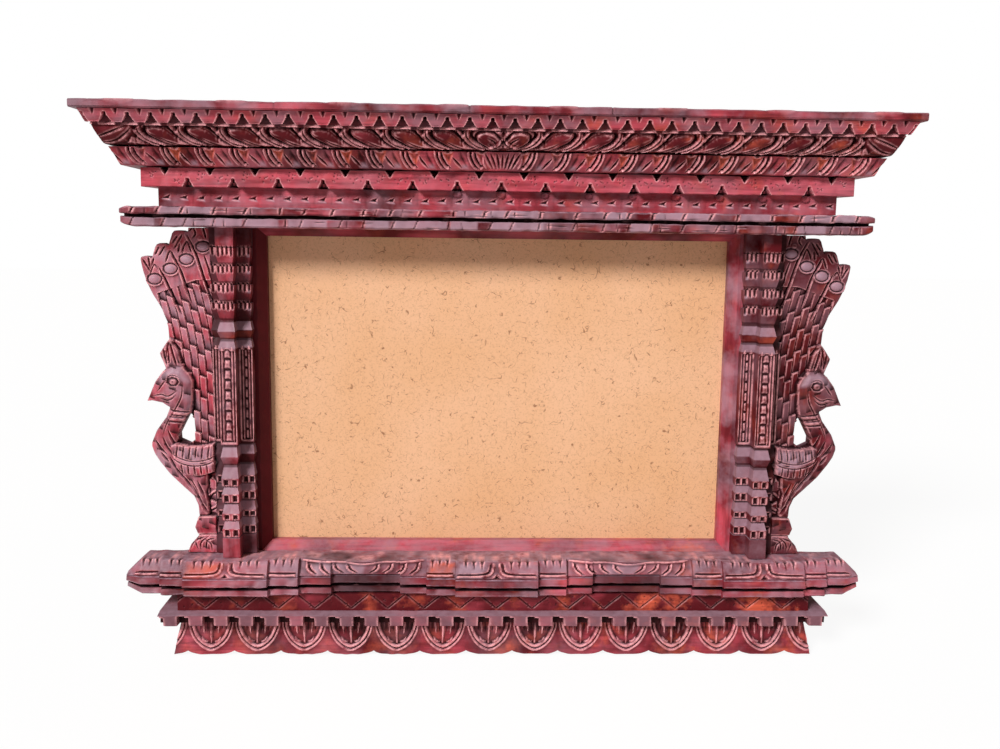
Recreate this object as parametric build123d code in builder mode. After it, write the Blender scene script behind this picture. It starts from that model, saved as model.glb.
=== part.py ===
from build123d import *
from math import ceil, cos
import os

# A carved wooden window: planks stacked into a cornice and a base, a mitred frame with a plain board in it,
# and a post and a peacock on each side.
# Millimetres. X runs to the right, Z up, and the front faces -Y. The wall plane is y = 0, the lowest edge
# z = 0. A depth is a distance in front of the wall plane, and a half width a distance from the middle.

# The opening, its frame and its board
OPENING_WIDTH = 296.0
OPENING_HEIGHT = 199.3
STICK_WIDTH = 28.8
FRAME_DEPTH = 17.0
BEVEL_WIDTH = 5.5
BEVEL_EDGE_DEPTH = 11.0
BOARD_FACE_DEPTH = 6.0
BOARD_THICKNESS = 3.0
REBATE_LAP = 4.5
BOARD_PLAY = 0.25

# The flat metal points behind the board
POINT_WIDTH = 4.0
POINT_THICKNESS = 0.8
POINT_LENGTH = 12.0
POINT_IN_WOOD = 7.0
POINT_PITCH = 90.0
POINT_PLAY = 0.1

# The cornice, from the top down: heights, then half widths and depths
CAP_HEIGHT = 5.0
TOOTH_HEIGHT = 6.6
TOOTH_FILLET_HEIGHT = 1.9
LARGE_LEAF_HEIGHT = 11.5
SMALL_LEAF_HEIGHT = 11.0
FASCIA_HEIGHT = 11.4
FRIEZE_HEIGHT = 11.6
LEDGE_HEIGHT = 12.5
CAP_HALF, CAP_DEPTH = 246.5, 70.0
CAP_UNDERCUT = 0.8
TOOTH_TOP_HALF, TOOTH_TOP_DEPTH = 243.0, 66.5
TOOTH_LOW_HALF, TOOTH_LOW_DEPTH = 239.5, 63.0
LARGE_LEAF_TOP_HALF, LARGE_LEAF_TOP_DEPTH = 237.5, 61.0
LARGE_LEAF_LOW_HALF, LARGE_LEAF_LOW_DEPTH = 232.5, 52.0
SMALL_LEAF_TOP_HALF, SMALL_LEAF_TOP_DEPTH = 231.5, 51.0
SMALL_LEAF_LOW_HALF, SMALL_LEAF_LOW_DEPTH = 227.0, 43.0
FASCIA_HALF, FASCIA_DEPTH = 217.0, 38.0
FRIEZE_HALF, FRIEZE_DEPTH = 209.0, 31.0
LEDGE_HALF, LEDGE_DEPTH = 229.0, 46.0

# The cornice's carving
TOOTH_PITCH = 13.0
TOOTH_GAP_WIDTH = 6.0
TOOTH_GAP_HEIGHT = 5.7
TOOTH_CUT_DEPTH = 4.0
TOOTH_FILLET_SETBACK = 0.5
# A leaf's pit and strokes, as shares of its pitch across and of the slope's height up
LEAF_PIT_WIDTH = 0.32
LEAF_PIT_LOW = 0.7
LEAF_STROKE_HEADS = ((0.38, 0.95), (0.08, 0.8))
LEAF_STROKE_RUN = 0.62
LEAF_STROKE_END = 0.06
LEAF_SLOPE_EDGE = 1.03
LARGE_LEAF_PITCH = 23.7
LARGE_LEAF_CUT = 3.0
LARGE_STROKE_WIDTH, LARGE_STROKE_DEPTH = 2.7, 1.5
SMALL_LEAF_PITCH = 20.8
SMALL_LEAF_CUT = 2.5
SMALL_STROKE_WIDTH, SMALL_STROKE_DEPTH = 2.25, 1.25
FASCIA_NOTCH_PITCH = 27.0
FASCIA_NOTCH_WIDTH = 7.0
FASCIA_NOTCH_HEIGHT = 4.2
FASCIA_NOTCH_DEPTH = 4.0
CHIP_PITCH = 10.5
CHIP_WIDTH = 6.5
CHIP_HEIGHT = 3.4
CHIP_DEPTH = 1.2
LEDGE_GROOVE_HEIGHT = 2.8
LEDGE_GROOVE_DEPTH = 9.0
LEDGE_LIP_HEIGHT = 4.5
LEDGE_LOWER_SETBACK = 2.0
LEDGE_EASE = 1.5
LEDGE_END_CUT = 11.0
LEDGE_END_NECK = 4.0
LEDGE_END_RISE = 3.0
LEDGE_SCORE_PITCH = 52.0
LEDGE_SCORE_LEAN = 2.5
LEDGE_SCORE_WIDTH = 1.2
LEDGE_SCORE_DEPTH = 1.0

# The base, from the top down
SILL_HEIGHT = 23.8
ZIGZAG_HEIGHT = 11.4
DENTIL_HEIGHT = 8.3
PETAL_HEIGHT = 24.0
SILL_HALF, SILL_TOP_DEPTH, SILL_RIM_DEPTH = 236.0, 40.0, 46.5
SILL_LIP_HEIGHT = 4.5
SILL_GROOVE_HEIGHT = 3.0
SILL_GROOVE_DEPTH = 7.0
SILL_LOWER_LIP_SETBACK = 3.5
SILL_RIM_HEIGHT = 3.5
SILL_END_TAPER = 24.0
SILL_END_TOP_TAPER = 8.0
SILL_STEP = 3.0
SILL_EASE = 1.0
SILL_UPPER_LIP_SETBACK = 1.0
SILL_LINE_DEPTH = 0.8
SILL_LINE_HEIGHT = 1.2
BOSS_HALF = 26.5
BOSS_STEP_WIDTH = 18.5
BOSS_OUTER_STEP_WIDTH = 14.5
LIP_STEP_WIDTH = 19.0
SIDE_BOSS_CENTRE = 172.0
RUN_END_DEPTH = 33.0
RUN_MIDDLE_DEPTH = 40.0
RUN_RIM_DEPTH = 40.0
RUN_LIP_SETBACK = 9.0
RUN_RIDGE_COUNT = 6
RUN_RIDGE_LEAN = 3.0
RUN_RIDGE_WIDTH = 1.6
RUN_RIDGE_DEPTH = 2.0
SPIKE_WIDTH = 2.2
SPIKE_DEPTH = 1.0
SPIKE_TIP = 0.35
BOSS_FOLD_WIDTH = 2.0
BOSS_FOLD_DEPTH = 1.2
ZIGZAG_HALF, ZIGZAG_DEPTH = 205.0, 34.0
ZIGZAG_PITCH = 23.4
ZIGZAG_CUT_WIDTH = 1.4
ZIGZAG_CUT_DEPTH = 0.8
ZIGZAG_TOP_MARGIN = 1.0
ZIGZAG_LOW_MARGIN = 1.5
ZIGZAG_POINT_SHARE = 0.03
DENTIL_HALF, DENTIL_DEPTH = 217.0, 40.0
DENTIL_PITCH = 16.0
DENTIL_GAP = 7.4
DENTIL_CUT_DEPTH = 6.5
DENTIL_SLOPE_HEIGHT = 1.4
DENTIL_GAP_MARGIN = 0.8
DENTIL_END_CUT = 5.0
DENTIL_END_RISE = 4.0
PETAL_LOW_HALF, PETAL_TOP_HALF = 209.5, 204.5
PETAL_LOW_DEPTH, PETAL_TOP_DEPTH = 31.0, 28.0
PETAL_PITCH = 30.2
PETAL_ROW_SHIFT = -4.2
PETAL_SCALLOP = 2.4
PETAL_SCALLOP_WIDTH = 9.0
PETAL_MARGIN = 2.2
PETAL_CUT_WIDTH = 2.0
PETAL_CUT_DEPTH = 1.2
# The petal's arch and vein, as shares of its half width across and of the skirt's height up
PETAL_ARCH = ((1.0, 0.93), (0.8, 0.42), (0.0, 0.12))
PETAL_VEIN = (0.85, 0.3)

# The posts
POST_REVEAL = 7.6
POST_INNER_RIB_WIDTH = 8.4
POST_FRONT_RIB_WIDTH = 11.0
POST_OUTER_RIB_WIDTH = 6.2
POST_BACKING = 3.0
SIDE_RIB_DEPTH = 24.0
FRONT_RIB_DEPTH = 34.0
POST_TOP_BLOCK = 12.6
CAP_TIER_COUNT = 4
CAP_TIER_PITCH = 11.6
CAP_TIER_BLOCK = 6.2
DIAMOND_HEIGHT = 10.5
DIAMOND_SLOPE_SHARE = 0.55
DIAMOND_PINCH = 1.2
POST_BASE_BLOCK = 19.0
FOOT_TIER_COUNT = 4
FOOT_TIER_PITCH = 11.0
FOOT_TIER_SLOPE = 6.0
FOOT_TIER_SPREAD = 0.5
COLLAR_HEIGHT = 12.5
COLLAR_PINCH = 1.4
TIER_PINCH = 2.0
FRONT_FLUTE_COUNT = 3
SIDE_FLUTE_COUNT = 1
FRONT_SLOT_COUNT = 2
SIDE_SLOT_COUNT = 1
RIB_FLUTE_WIDTH = 1.5
RIB_FLUTE_DEPTH = 1.0
RIB_FLUTE_OVERRUN = 0.3
RIB_FLUTE_MARGIN = 0.8
SLOT_WIDTH = 1.7
SLOT_MARGIN = 0.7
SLOT_DEPTH = 1.5
SLOT_SPREAD = 0.64
SHAFT_SETBACK = 0.6
SHAFT_PANEL_MARGIN = 2.4
SHAFT_PANEL_CUT = 2.0
SHAFT_LEAF_PITCH = 7.6
# A scale's upper edge, widest part and tip: its lift off the panel, and its height as a share of the pitch
SCALE_TOP_LIFT = 0.2
SCALE_SIDE_LIFT, SCALE_SIDE_RISE = 1.0, 0.45
SCALE_TIP_LIFT, SCALE_TIP_RISE = 1.4, 0.08
TENON_WIDTH = 10.0
TENON_DEPTH = 5.0
TENON_LENGTH = 6.0
TENON_PLAY = 0.1

# The peacocks, in distances out from the post and up from the sill
PEACOCK_BACK_DEPTH = 14.0
TAIL_DEPTH = 21.5
BIRD_DEPTH = 25.5
WING_DEPTH = 27.0
PEDESTAL_DEPTH = 27.0
PEDESTAL_UNDERCUT = 1.0
PEDESTAL_SLOPE = 3.0
FOOT_DEPTH = 24.5
FEATHER_LIFT = 1.2
BIRD_GROOVE_WIDTH = 1.4
BIRD_GROOVE_DEPTH = 1.2

# Levels worked out from the heights
opening_half = OPENING_WIDTH / 2
frame_half = opening_half + STICK_WIDTH
dentil_z = PETAL_HEIGHT
zigzag_z = dentil_z + DENTIL_HEIGHT
frame_z = zigzag_z + ZIGZAG_HEIGHT
opening_z = frame_z + STICK_WIDTH
opening_top_z = opening_z + OPENING_HEIGHT
frame_top_z = opening_top_z + STICK_WIDTH
sill_z = frame_z
sill_top_z = sill_z + SILL_HEIGHT
frieze_z = frame_top_z - FRIEZE_HEIGHT
ledge_z = frieze_z - LEDGE_HEIGHT
fascia_z = frame_top_z
small_leaf_z = fascia_z + FASCIA_HEIGHT
large_leaf_z = small_leaf_z + SMALL_LEAF_HEIGHT
tooth_z = large_leaf_z + LARGE_LEAF_HEIGHT
tooth_edge_z = tooth_z + TOOTH_FILLET_HEIGHT
cap_z = tooth_edge_z + TOOTH_HEIGHT
cap_top_z = cap_z + CAP_HEIGHT
post_height = ledge_z - sill_top_z
post_inner_x = opening_half + POST_REVEAL
rib_x = post_inner_x + POST_INNER_RIB_WIDTH
rib_outer_x = rib_x + POST_FRONT_RIB_WIDTH
post_outer_x = rib_outer_x + POST_OUTER_RIB_WIDTH
REACH = 1.0  # how far a cutting shape runs past the face that it cuts
CHIP_LIFT = 0.4  # how far a chip's upper edges stand off the face
CHIP_FLARE = 1.3  # how much wider the chip is there than on the face
CHIP_RUN_OUT = 0.12  # the share of its length in which a chip comes up to the face at each end


def plank(low_z, high_z, low_half, high_half, low_depth, high_depth, back=0.0):
    """Adds a plank whose front and ends slope evenly between its lower and its upper face."""
    corners = []
    for z, half, depth in ((low_z, low_half, low_depth), (high_z, high_half, high_depth)):
        corners += [(side * half, -d, z) for side in (-1, 1) for d in (back, depth)]
    ConvexPolyhedron(corners)


def front_prism(outline, back, front, mode=Mode.ADD):
    """Adds or cuts a prism with an outline seen from the front, between two depths."""
    with BuildSketch(Plane.XZ.offset(back)) as face:
        with BuildLine():
            Polyline(*outline, close=True)
        make_face()
    extrude(face.sketch, amount=front - back, mode=mode)


def side_prism(profile, left_x, right_x, mode=Mode.ADD):
    """Adds or cuts a prism along X, with its profile given as depth and height."""
    with BuildSketch(Plane.YZ.offset(left_x)) as face:
        with BuildLine():
            Polyline(*[(-depth, z) for depth, z in profile], close=True)
        make_face()
    extrude(face.sketch, amount=right_x - left_x, mode=mode)


def cut_all(tools):
    """Cuts every tool from the part in one operation."""
    add(tools, mode=Mode.SUBTRACT)


def groove(start, end, out, width, depth):
    """Returns a V-shaped chip between two points of a surface that faces the vector out."""
    start, end, out = Vector(*start), Vector(*end), Vector(*out).normalized()
    run = end - start
    across = out.cross(run).normalized() * (width / 2)
    sink = out * depth
    points = [p + side * across * CHIP_FLARE + out * CHIP_LIFT for p in (start, end) for side in (-1, 1)]
    points += [start + run * CHIP_RUN_OUT - sink, end - run * CHIP_RUN_OUT - sink]
    return ConvexPolyhedron(points, mode=Mode.PRIVATE)


def pit(corners, out, depth):
    """Returns a straight-sided pit under three or more corners of a surface."""
    out = Vector(*out).normalized()
    points = [Vector(*c) + out * step for c in corners for step in (REACH, -depth)]
    return ConvexPolyhedron(points, mode=Mode.PRIVATE)


def repeats(half, pitch):
    """Returns how many copies of a pitch fill a width given by its half."""
    return max(1, ceil(2 * half / pitch - 0.5))


def mirrored_positions(half, pitch):
    """Returns the distances of the units right of the middle one, each a pitch on from the last."""
    return [pitch * n for n in range(1, int(half / pitch))]


class Slope:
    """A sloped front of a plank: a point is given across, up the slope from 0 to 1, and off the surface."""

    def __init__(self, low_z, high_z, low_depth, high_depth):
        self.low = Vector(0, -low_depth, low_z)
        self.up = Vector(0, -high_depth, high_z) - self.low
        self.out = self.up.cross(Vector(1, 0, 0)).normalized() * -1
        if self.out.Y > 0:
            self.out = self.out * -1

    def at(self, x, share):
        return self.low + self.up * share + Vector(x, 0, 0)


# The cornice, from the top down
with BuildPart() as cornice_cap:
    plank(cap_z, cap_top_z, CAP_HALF - CAP_UNDERCUT, CAP_HALF, CAP_DEPTH - CAP_UNDERCUT, CAP_DEPTH)

with BuildPart() as tooth_moulding:
    fillet_half = TOOTH_LOW_HALF - TOOTH_FILLET_SETBACK
    fillet_depth = TOOTH_LOW_DEPTH - TOOTH_FILLET_SETBACK
    plank(tooth_z, tooth_edge_z, fillet_half - TOOTH_FILLET_SETBACK, fillet_half,
          fillet_depth - TOOTH_FILLET_SETBACK, fillet_depth)
    plank(tooth_edge_z, cap_z, TOOTH_LOW_HALF, TOOTH_TOP_HALF, TOOTH_LOW_DEPTH, TOOTH_TOP_DEPTH)
    gaps = []
    tooth_count = repeats(TOOTH_TOP_HALF, TOOTH_PITCH)
    for n in range(tooth_count + 1):
        x = (n - tooth_count / 2) * TOOTH_PITCH
        triangle = [(x - TOOTH_GAP_WIDTH / 2, 0), (x + TOOTH_GAP_WIDTH / 2, 0), (x, TOOTH_GAP_HEIGHT)]
        gaps.append(
            ConvexPolyhedron(
                [(px, -d, tooth_edge_z + pz) for px, pz in triangle
                 for d in (TOOTH_LOW_DEPTH - TOOTH_CUT_DEPTH, TOOTH_TOP_DEPTH + REACH)],
                mode=Mode.PRIVATE,
            )
        )
    side_count = int((TOOTH_LOW_DEPTH - TOOTH_PITCH / 2) / TOOTH_PITCH)
    for side in (-1, 1):
        for n in range(side_count):
            d = TOOTH_LOW_DEPTH - TOOTH_PITCH * (n + 1)
            triangle = [(d - TOOTH_GAP_WIDTH / 2, 0), (d + TOOTH_GAP_WIDTH / 2, 0), (d, TOOTH_GAP_HEIGHT)]
            gaps.append(
                ConvexPolyhedron(
                    [(side * px, -pd, tooth_edge_z + pz) for pd, pz in triangle
                     for px in (TOOTH_LOW_HALF - TOOTH_CUT_DEPTH, TOOTH_TOP_HALF + REACH)],
                    mode=Mode.PRIVATE,
                )
            )
    cut_all(gaps)


def leaf_row(slope, half, pitch, depth, stroke_width, stroke_depth):
    """Cuts a row of leaves into a slope: a pit between two heads, and strokes that sweep to the middle."""
    cuts = []
    for side in (-1, 1):
        for x in mirrored_positions(half, pitch):
            between = x - pitch / 2
            half_pit = pitch * LEAF_PIT_WIDTH / 2
            cuts.append(pit([slope.at(side * (between - half_pit), LEAF_SLOPE_EDGE),
                             slope.at(side * (between + half_pit), LEAF_SLOPE_EDGE),
                             slope.at(side * between, LEAF_PIT_LOW)], slope.out, depth))
            for lead, top in LEAF_STROKE_HEADS:
                head = slope.at(side * (x + pitch * lead), top)
                tail = slope.at(side * (x + pitch * (lead - LEAF_STROKE_RUN)), LEAF_STROKE_END)
                cuts.append(groove(head, tail, slope.out, stroke_width, stroke_depth))
    cuts.append(groove(slope.at(0, top), slope.at(0, LEAF_STROKE_END), slope.out, stroke_width, stroke_depth))
    cut_all(cuts)


with BuildPart() as large_leaf_moulding:
    plank(large_leaf_z, tooth_z, LARGE_LEAF_LOW_HALF, LARGE_LEAF_TOP_HALF,
          LARGE_LEAF_LOW_DEPTH, LARGE_LEAF_TOP_DEPTH)
    large_slope = Slope(large_leaf_z, tooth_z, LARGE_LEAF_LOW_DEPTH, LARGE_LEAF_TOP_DEPTH)
    leaf_row(large_slope, LARGE_LEAF_LOW_HALF, LARGE_LEAF_PITCH, LARGE_LEAF_CUT,
             LARGE_STROKE_WIDTH, LARGE_STROKE_DEPTH)

with BuildPart() as small_leaf_moulding:
    plank(small_leaf_z, large_leaf_z, SMALL_LEAF_LOW_HALF, SMALL_LEAF_TOP_HALF,
          SMALL_LEAF_LOW_DEPTH, SMALL_LEAF_TOP_DEPTH)
    small_slope = Slope(small_leaf_z, large_leaf_z, SMALL_LEAF_LOW_DEPTH, SMALL_LEAF_TOP_DEPTH)
    leaf_row(small_slope, SMALL_LEAF_LOW_HALF, SMALL_LEAF_PITCH, SMALL_LEAF_CUT,
             SMALL_STROKE_WIDTH, SMALL_STROKE_DEPTH)

with BuildPart() as notched_fascia:
    plank(fascia_z, small_leaf_z, FASCIA_HALF, FASCIA_HALF, FASCIA_DEPTH, FASCIA_DEPTH)
    notches = []
    notch_count = repeats(FASCIA_HALF, FASCIA_NOTCH_PITCH)
    for n in range(notch_count):
        x = (n - (notch_count - 1) / 2) * FASCIA_NOTCH_PITCH
        for shift, edge, rise in ((0, small_leaf_z, -1), (FASCIA_NOTCH_PITCH / 2, fascia_z, 1)):
            notch_x = x + shift
            if abs(notch_x) > FASCIA_HALF - FASCIA_NOTCH_WIDTH:
                continue
            start_z = edge - rise * REACH / 10
            half_notch = FASCIA_NOTCH_WIDTH / 2
            triangle = [(notch_x - half_notch, start_z), (notch_x + half_notch, start_z),
                        (notch_x, edge + rise * FASCIA_NOTCH_HEIGHT)]
            corners = [(px, -FASCIA_DEPTH, pz) for px, pz in triangle]
            notches.append(pit(corners, (0, -1, 0), FASCIA_NOTCH_DEPTH))
    cut_all(notches)

with BuildPart() as chip_frieze:
    plank(frieze_z, frame_top_z, FRIEZE_HALF, FRIEZE_HALF, FRIEZE_DEPTH, FRIEZE_DEPTH, back=FRAME_DEPTH)
    chips = []
    chip_count = repeats(FRIEZE_HALF - CHIP_PITCH / 2, CHIP_PITCH)
    for n in range(chip_count):
        x = (n - (chip_count - 1) / 2) * CHIP_PITCH
        z = frieze_z + FRIEZE_HEIGHT / 2
        ends = [(x - CHIP_WIDTH / 2, z), (x + CHIP_WIDTH / 2, z + CHIP_HEIGHT / 3),
                (x, z + CHIP_HEIGHT / 2), (x, z - CHIP_HEIGHT / 2)]
        points = [(px, -FRIEZE_DEPTH - REACH / 2, pz) for px, pz in ends]
        points.append((x, -FRIEZE_DEPTH + CHIP_DEPTH, z))
        chips.append(ConvexPolyhedron(points, mode=Mode.PRIVATE))
    cut_all(chips)


def mortise(centre_x, low_z, high_z):
    """Cuts the blind hole for a post's tenon."""
    half = TENON_WIDTH / 2 + TENON_PLAY
    back = FRAME_DEPTH + POST_BACKING - TENON_PLAY
    front = FRAME_DEPTH + POST_BACKING + TENON_DEPTH + TENON_PLAY
    outline = [(centre_x - half, low_z), (centre_x + half, low_z),
               (centre_x + half, high_z), (centre_x - half, high_z)]
    front_prism(outline, back, front, Mode.SUBTRACT)


tenon_x = (rib_x + rib_outer_x) / 2

with BuildPart() as eave_ledge:
    lip = LEDGE_DEPTH
    lower_lip = lip - LEDGE_LOWER_SETBACK
    upper_lip_z = frieze_z - LEDGE_LIP_HEIGHT
    lower_lip_z = upper_lip_z - LEDGE_GROOVE_HEIGHT
    ledge_profile = [
        (FRAME_DEPTH, ledge_z), (lower_lip - LEDGE_EASE, ledge_z), (lower_lip, ledge_z + LEDGE_EASE),
        (lower_lip, lower_lip_z),
        (lip - LEDGE_GROOVE_DEPTH, lower_lip_z), (lip - LEDGE_GROOVE_DEPTH, upper_lip_z),
        (lip, upper_lip_z), (lip, frieze_z - LEDGE_EASE), (lip - LEDGE_EASE, frieze_z),
        (FRAME_DEPTH, frieze_z),
    ]
    side_prism(ledge_profile, -LEDGE_HALF, LEDGE_HALF)
    ends = []
    for side in (-1, 1):
        corner = side * LEDGE_HALF
        ends.append(
            ConvexPolyhedron(
                [(px, -d, pz) for px, pz in (
                    (corner + side * REACH, ledge_z - REACH),
                    (corner - side * LEDGE_END_CUT, ledge_z - REACH),
                    (corner + side * REACH, lower_lip_z + REACH),
                    (corner - side * LEDGE_END_NECK, lower_lip_z - LEDGE_END_RISE))
                 for d in (FRAME_DEPTH - REACH, LEDGE_DEPTH + REACH)],
                mode=Mode.PRIVATE,
            )
        )
    score_count = repeats(LEDGE_HALF, LEDGE_SCORE_PITCH)
    for n in range(score_count):
        x = (n - (score_count - 1) / 2) * LEDGE_SCORE_PITCH
        lean = LEDGE_SCORE_LEAN * cos(2.3 * n)
        upper_score = (x, -lip, frieze_z - LEDGE_EASE), (x + lean, -lip, upper_lip_z)
        lower_score = (x + lean, -lower_lip, lower_lip_z), (x + 2 * lean, -lower_lip, ledge_z + LEDGE_EASE)
        for start, end in (upper_score, lower_score):
            ends.append(groove(start, end, (0, -1, 0), LEDGE_SCORE_WIDTH, LEDGE_SCORE_DEPTH))
    cut_all(ends)
    for side in (-1, 1):
        mortise(side * tenon_x, ledge_z - REACH, ledge_z + TENON_LENGTH + TENON_PLAY)


# The mitred frame of the opening
def stick(length, at_plane):
    """Adds one mitred stick of the frame, with its inner edge along a plane's x axis."""
    with BuildSketch(at_plane) as face:
        with BuildLine():
            Polyline((-length / 2, 0), (length / 2, 0), (length / 2 + STICK_WIDTH, -STICK_WIDTH),
                     (-length / 2 - STICK_WIDTH, -STICK_WIDTH), close=True)
        make_face()
    extrude(face.sketch, amount=FRAME_DEPTH)


def inner_edge_cuts(length, at_plane):
    """Returns the rebate and the bevel that run along a stick's inner edge."""
    run = length / 2 + STICK_WIDTH
    rebate = [(-REACH, -REACH), (REBATE_LAP, -REACH),
              (REBATE_LAP, BOARD_FACE_DEPTH), (-REACH, BOARD_FACE_DEPTH)]
    bevel_rise = (FRAME_DEPTH - BEVEL_EDGE_DEPTH) / BEVEL_WIDTH
    bevel = [(-REACH, BEVEL_EDGE_DEPTH - REACH * bevel_rise), (BEVEL_WIDTH, FRAME_DEPTH),
             (BEVEL_WIDTH, FRAME_DEPTH + REACH), (-REACH, FRAME_DEPTH + REACH)]
    tools = []
    for profile in (rebate, bevel):
        points = [at_plane.from_local_coords(Vector(x, -across, up))
                  for x in (-run, run) for across, up in profile]
        tools.append(ConvexPolyhedron(points, mode=Mode.PRIVATE))
    return tools


bottom_plane = Plane(origin=(0, 0, opening_z), x_dir=(1, 0, 0), z_dir=(0, -1, 0))
top_plane = Plane(origin=(0, 0, opening_top_z), x_dir=(-1, 0, 0), z_dir=(0, -1, 0))
middle_z = opening_z + OPENING_HEIGHT / 2
left_plane = Plane(origin=(-opening_half, 0, middle_z), x_dir=(0, 0, -1), z_dir=(0, -1, 0))
right_plane = Plane(origin=(opening_half, 0, middle_z), x_dir=(0, 0, 1), z_dir=(0, -1, 0))


def point_tools(length, at_plane, play):
    """Returns the flat points along a stick's inner edge, or with some play the slots that hold them."""
    count = repeats(length / 2 - POINT_PITCH / 4, POINT_PITCH)
    tools = []
    front = BOARD_FACE_DEPTH - BOARD_THICKNESS - POINT_PLAY
    for n in range(count):
        along = (n - (count - 1) / 2) * POINT_PITCH
        corners = [
            at_plane.from_local_coords(Vector(x, -across, up))
            for x in (along - POINT_WIDTH / 2 - play, along + POINT_WIDTH / 2 + play)
            for across in (REBATE_LAP + POINT_IN_WOOD + play, REBATE_LAP + POINT_IN_WOOD - POINT_LENGTH)
            for up in (front - POINT_THICKNESS - play, front + play)
        ]
        tools.append(ConvexPolyhedron(corners, mode=Mode.PRIVATE))
    return tools


STICKS = {
    "bottom_rail": (OPENING_WIDTH, bottom_plane),
    "top_rail": (OPENING_WIDTH, top_plane),
    "left_stile": (OPENING_HEIGHT, left_plane),
    "right_stile": (OPENING_HEIGHT, right_plane),
}
frame_sticks = {}
for name, (length, at_plane) in STICKS.items():
    with BuildPart() as frame_stick:
        stick(length, at_plane)
        cut_all(inner_edge_cuts(length, at_plane))
        cut_all(point_tools(length, at_plane, POINT_PLAY))
    frame_sticks[name] = frame_stick

with BuildPart() as board_points:
    for length, at_plane in STICKS.values():
        add(point_tools(length, at_plane, 0))

with BuildPart() as backing_board:
    board_half = opening_half + REBATE_LAP - BOARD_PLAY
    board_z = opening_z - REBATE_LAP + BOARD_PLAY
    board_top_z = opening_top_z + REBATE_LAP - BOARD_PLAY
    board_outline = [(-board_half, board_z), (board_half, board_z),
                     (board_half, board_top_z), (-board_half, board_top_z)]
    front_prism(board_outline, BOARD_FACE_DEPTH - BOARD_THICKNESS, BOARD_FACE_DEPTH)


# The posts
def block(left_x, right_x, depth, low_z, high_z, low_pinch=0.0, high_pinch=0.0):
    """Adds a block in front of a post's backing, drawn in by a pinch at its lower or its upper end."""
    back = FRAME_DEPTH
    corners = []
    for z, pinch in ((low_z, low_pinch), (high_z, high_pinch)):
        corners += [(x, -d, z) for x in (left_x + pinch, right_x - pinch) for d in (back, depth - pinch)]
    ConvexPolyhedron(corners)


def spread_over(count, middle, width):
    """Returns the middles of some equal parts of a width."""
    return [middle + (n - (count - 1) / 2) * width / count for n in range(count)]


def rib(left_x, right_x, depth, flute_count, slot_count):
    """Adds one of a post's ribs from the sill to the ledge, and returns its flutes and slots."""
    cuts = []
    middle = (left_x + right_x) / 2
    width = right_x - left_x
    top = ledge_z
    block(left_x, right_x, depth, top - POST_TOP_BLOCK, top)
    top -= POST_TOP_BLOCK
    for n in range(CAP_TIER_COUNT):
        low = top - CAP_TIER_PITCH
        block(left_x, right_x, depth, top - CAP_TIER_BLOCK, top)
        block(left_x, right_x, depth, low, top - CAP_TIER_BLOCK, low_pinch=TIER_PINCH)
        for x in spread_over(flute_count, middle, width):
            flute_top = (x, -depth, top + RIB_FLUTE_OVERRUN)
            flute_low = (x, -depth, top - CAP_TIER_BLOCK + RIB_FLUTE_MARGIN)
            cuts.append(groove(flute_top, flute_low, (0, -1, 0), RIB_FLUTE_WIDTH, RIB_FLUTE_DEPTH))
        top = low
    belt = top - DIAMOND_HEIGHT * DIAMOND_SLOPE_SHARE
    block(left_x, right_x, depth, belt, top, high_pinch=TIER_PINCH)
    block(left_x, right_x, depth, top - DIAMOND_HEIGHT, belt, low_pinch=DIAMOND_PINCH)
    top -= DIAMOND_HEIGHT
    collar_z = sill_top_z + POST_BASE_BLOCK + FOOT_TIER_COUNT * FOOT_TIER_PITCH - FOOT_TIER_SLOPE
    shaft_z = collar_z + COLLAR_HEIGHT
    shaft_depth = depth - SHAFT_SETBACK
    block(left_x + SHAFT_SETBACK, right_x - SHAFT_SETBACK, shaft_depth, shaft_z, top)
    if flute_count > 1:
        margin = SHAFT_PANEL_MARGIN
        cuts.append(pit([(x, -shaft_depth, z) for x in (left_x + margin, right_x - margin)
                         for z in (shaft_z + margin, top - 2 * margin)], (0, -1, 0), SHAFT_PANEL_CUT))
    block(left_x, right_x, depth, collar_z + COLLAR_HEIGHT / 2, shaft_z, high_pinch=TIER_PINCH)
    block(left_x, right_x, depth, collar_z, collar_z + COLLAR_HEIGHT / 2, low_pinch=COLLAR_PINCH)
    top = collar_z
    for n in range(FOOT_TIER_COUNT):
        slope_z = top - FOOT_TIER_SLOPE
        low = top - FOOT_TIER_PITCH if n < FOOT_TIER_COUNT - 1 else slope_z
        spread = FOOT_TIER_SPREAD * (FOOT_TIER_COUNT - n - 1)
        block(left_x + spread, right_x - spread, depth - spread, slope_z, top, high_pinch=TIER_PINCH)
        if low < slope_z:
            block(left_x + spread, right_x - spread, depth - spread, low, slope_z)
        for x in spread_over(slot_count, middle, width * SLOT_SPREAD):
            slot_low = low if low < slope_z else slope_z - FOOT_TIER_PITCH + FOOT_TIER_SLOPE
            corners = [(px, -depth + spread, z) for px in (x - SLOT_WIDTH / 2, x + SLOT_WIDTH / 2)
                       for z in (slot_low + SLOT_MARGIN, slope_z - SLOT_MARGIN)]
            cuts.append(pit(corners, (0, -1, 0), SLOT_DEPTH))
        top = low
    block(left_x, right_x, depth, sill_top_z, top)
    return cuts


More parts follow.
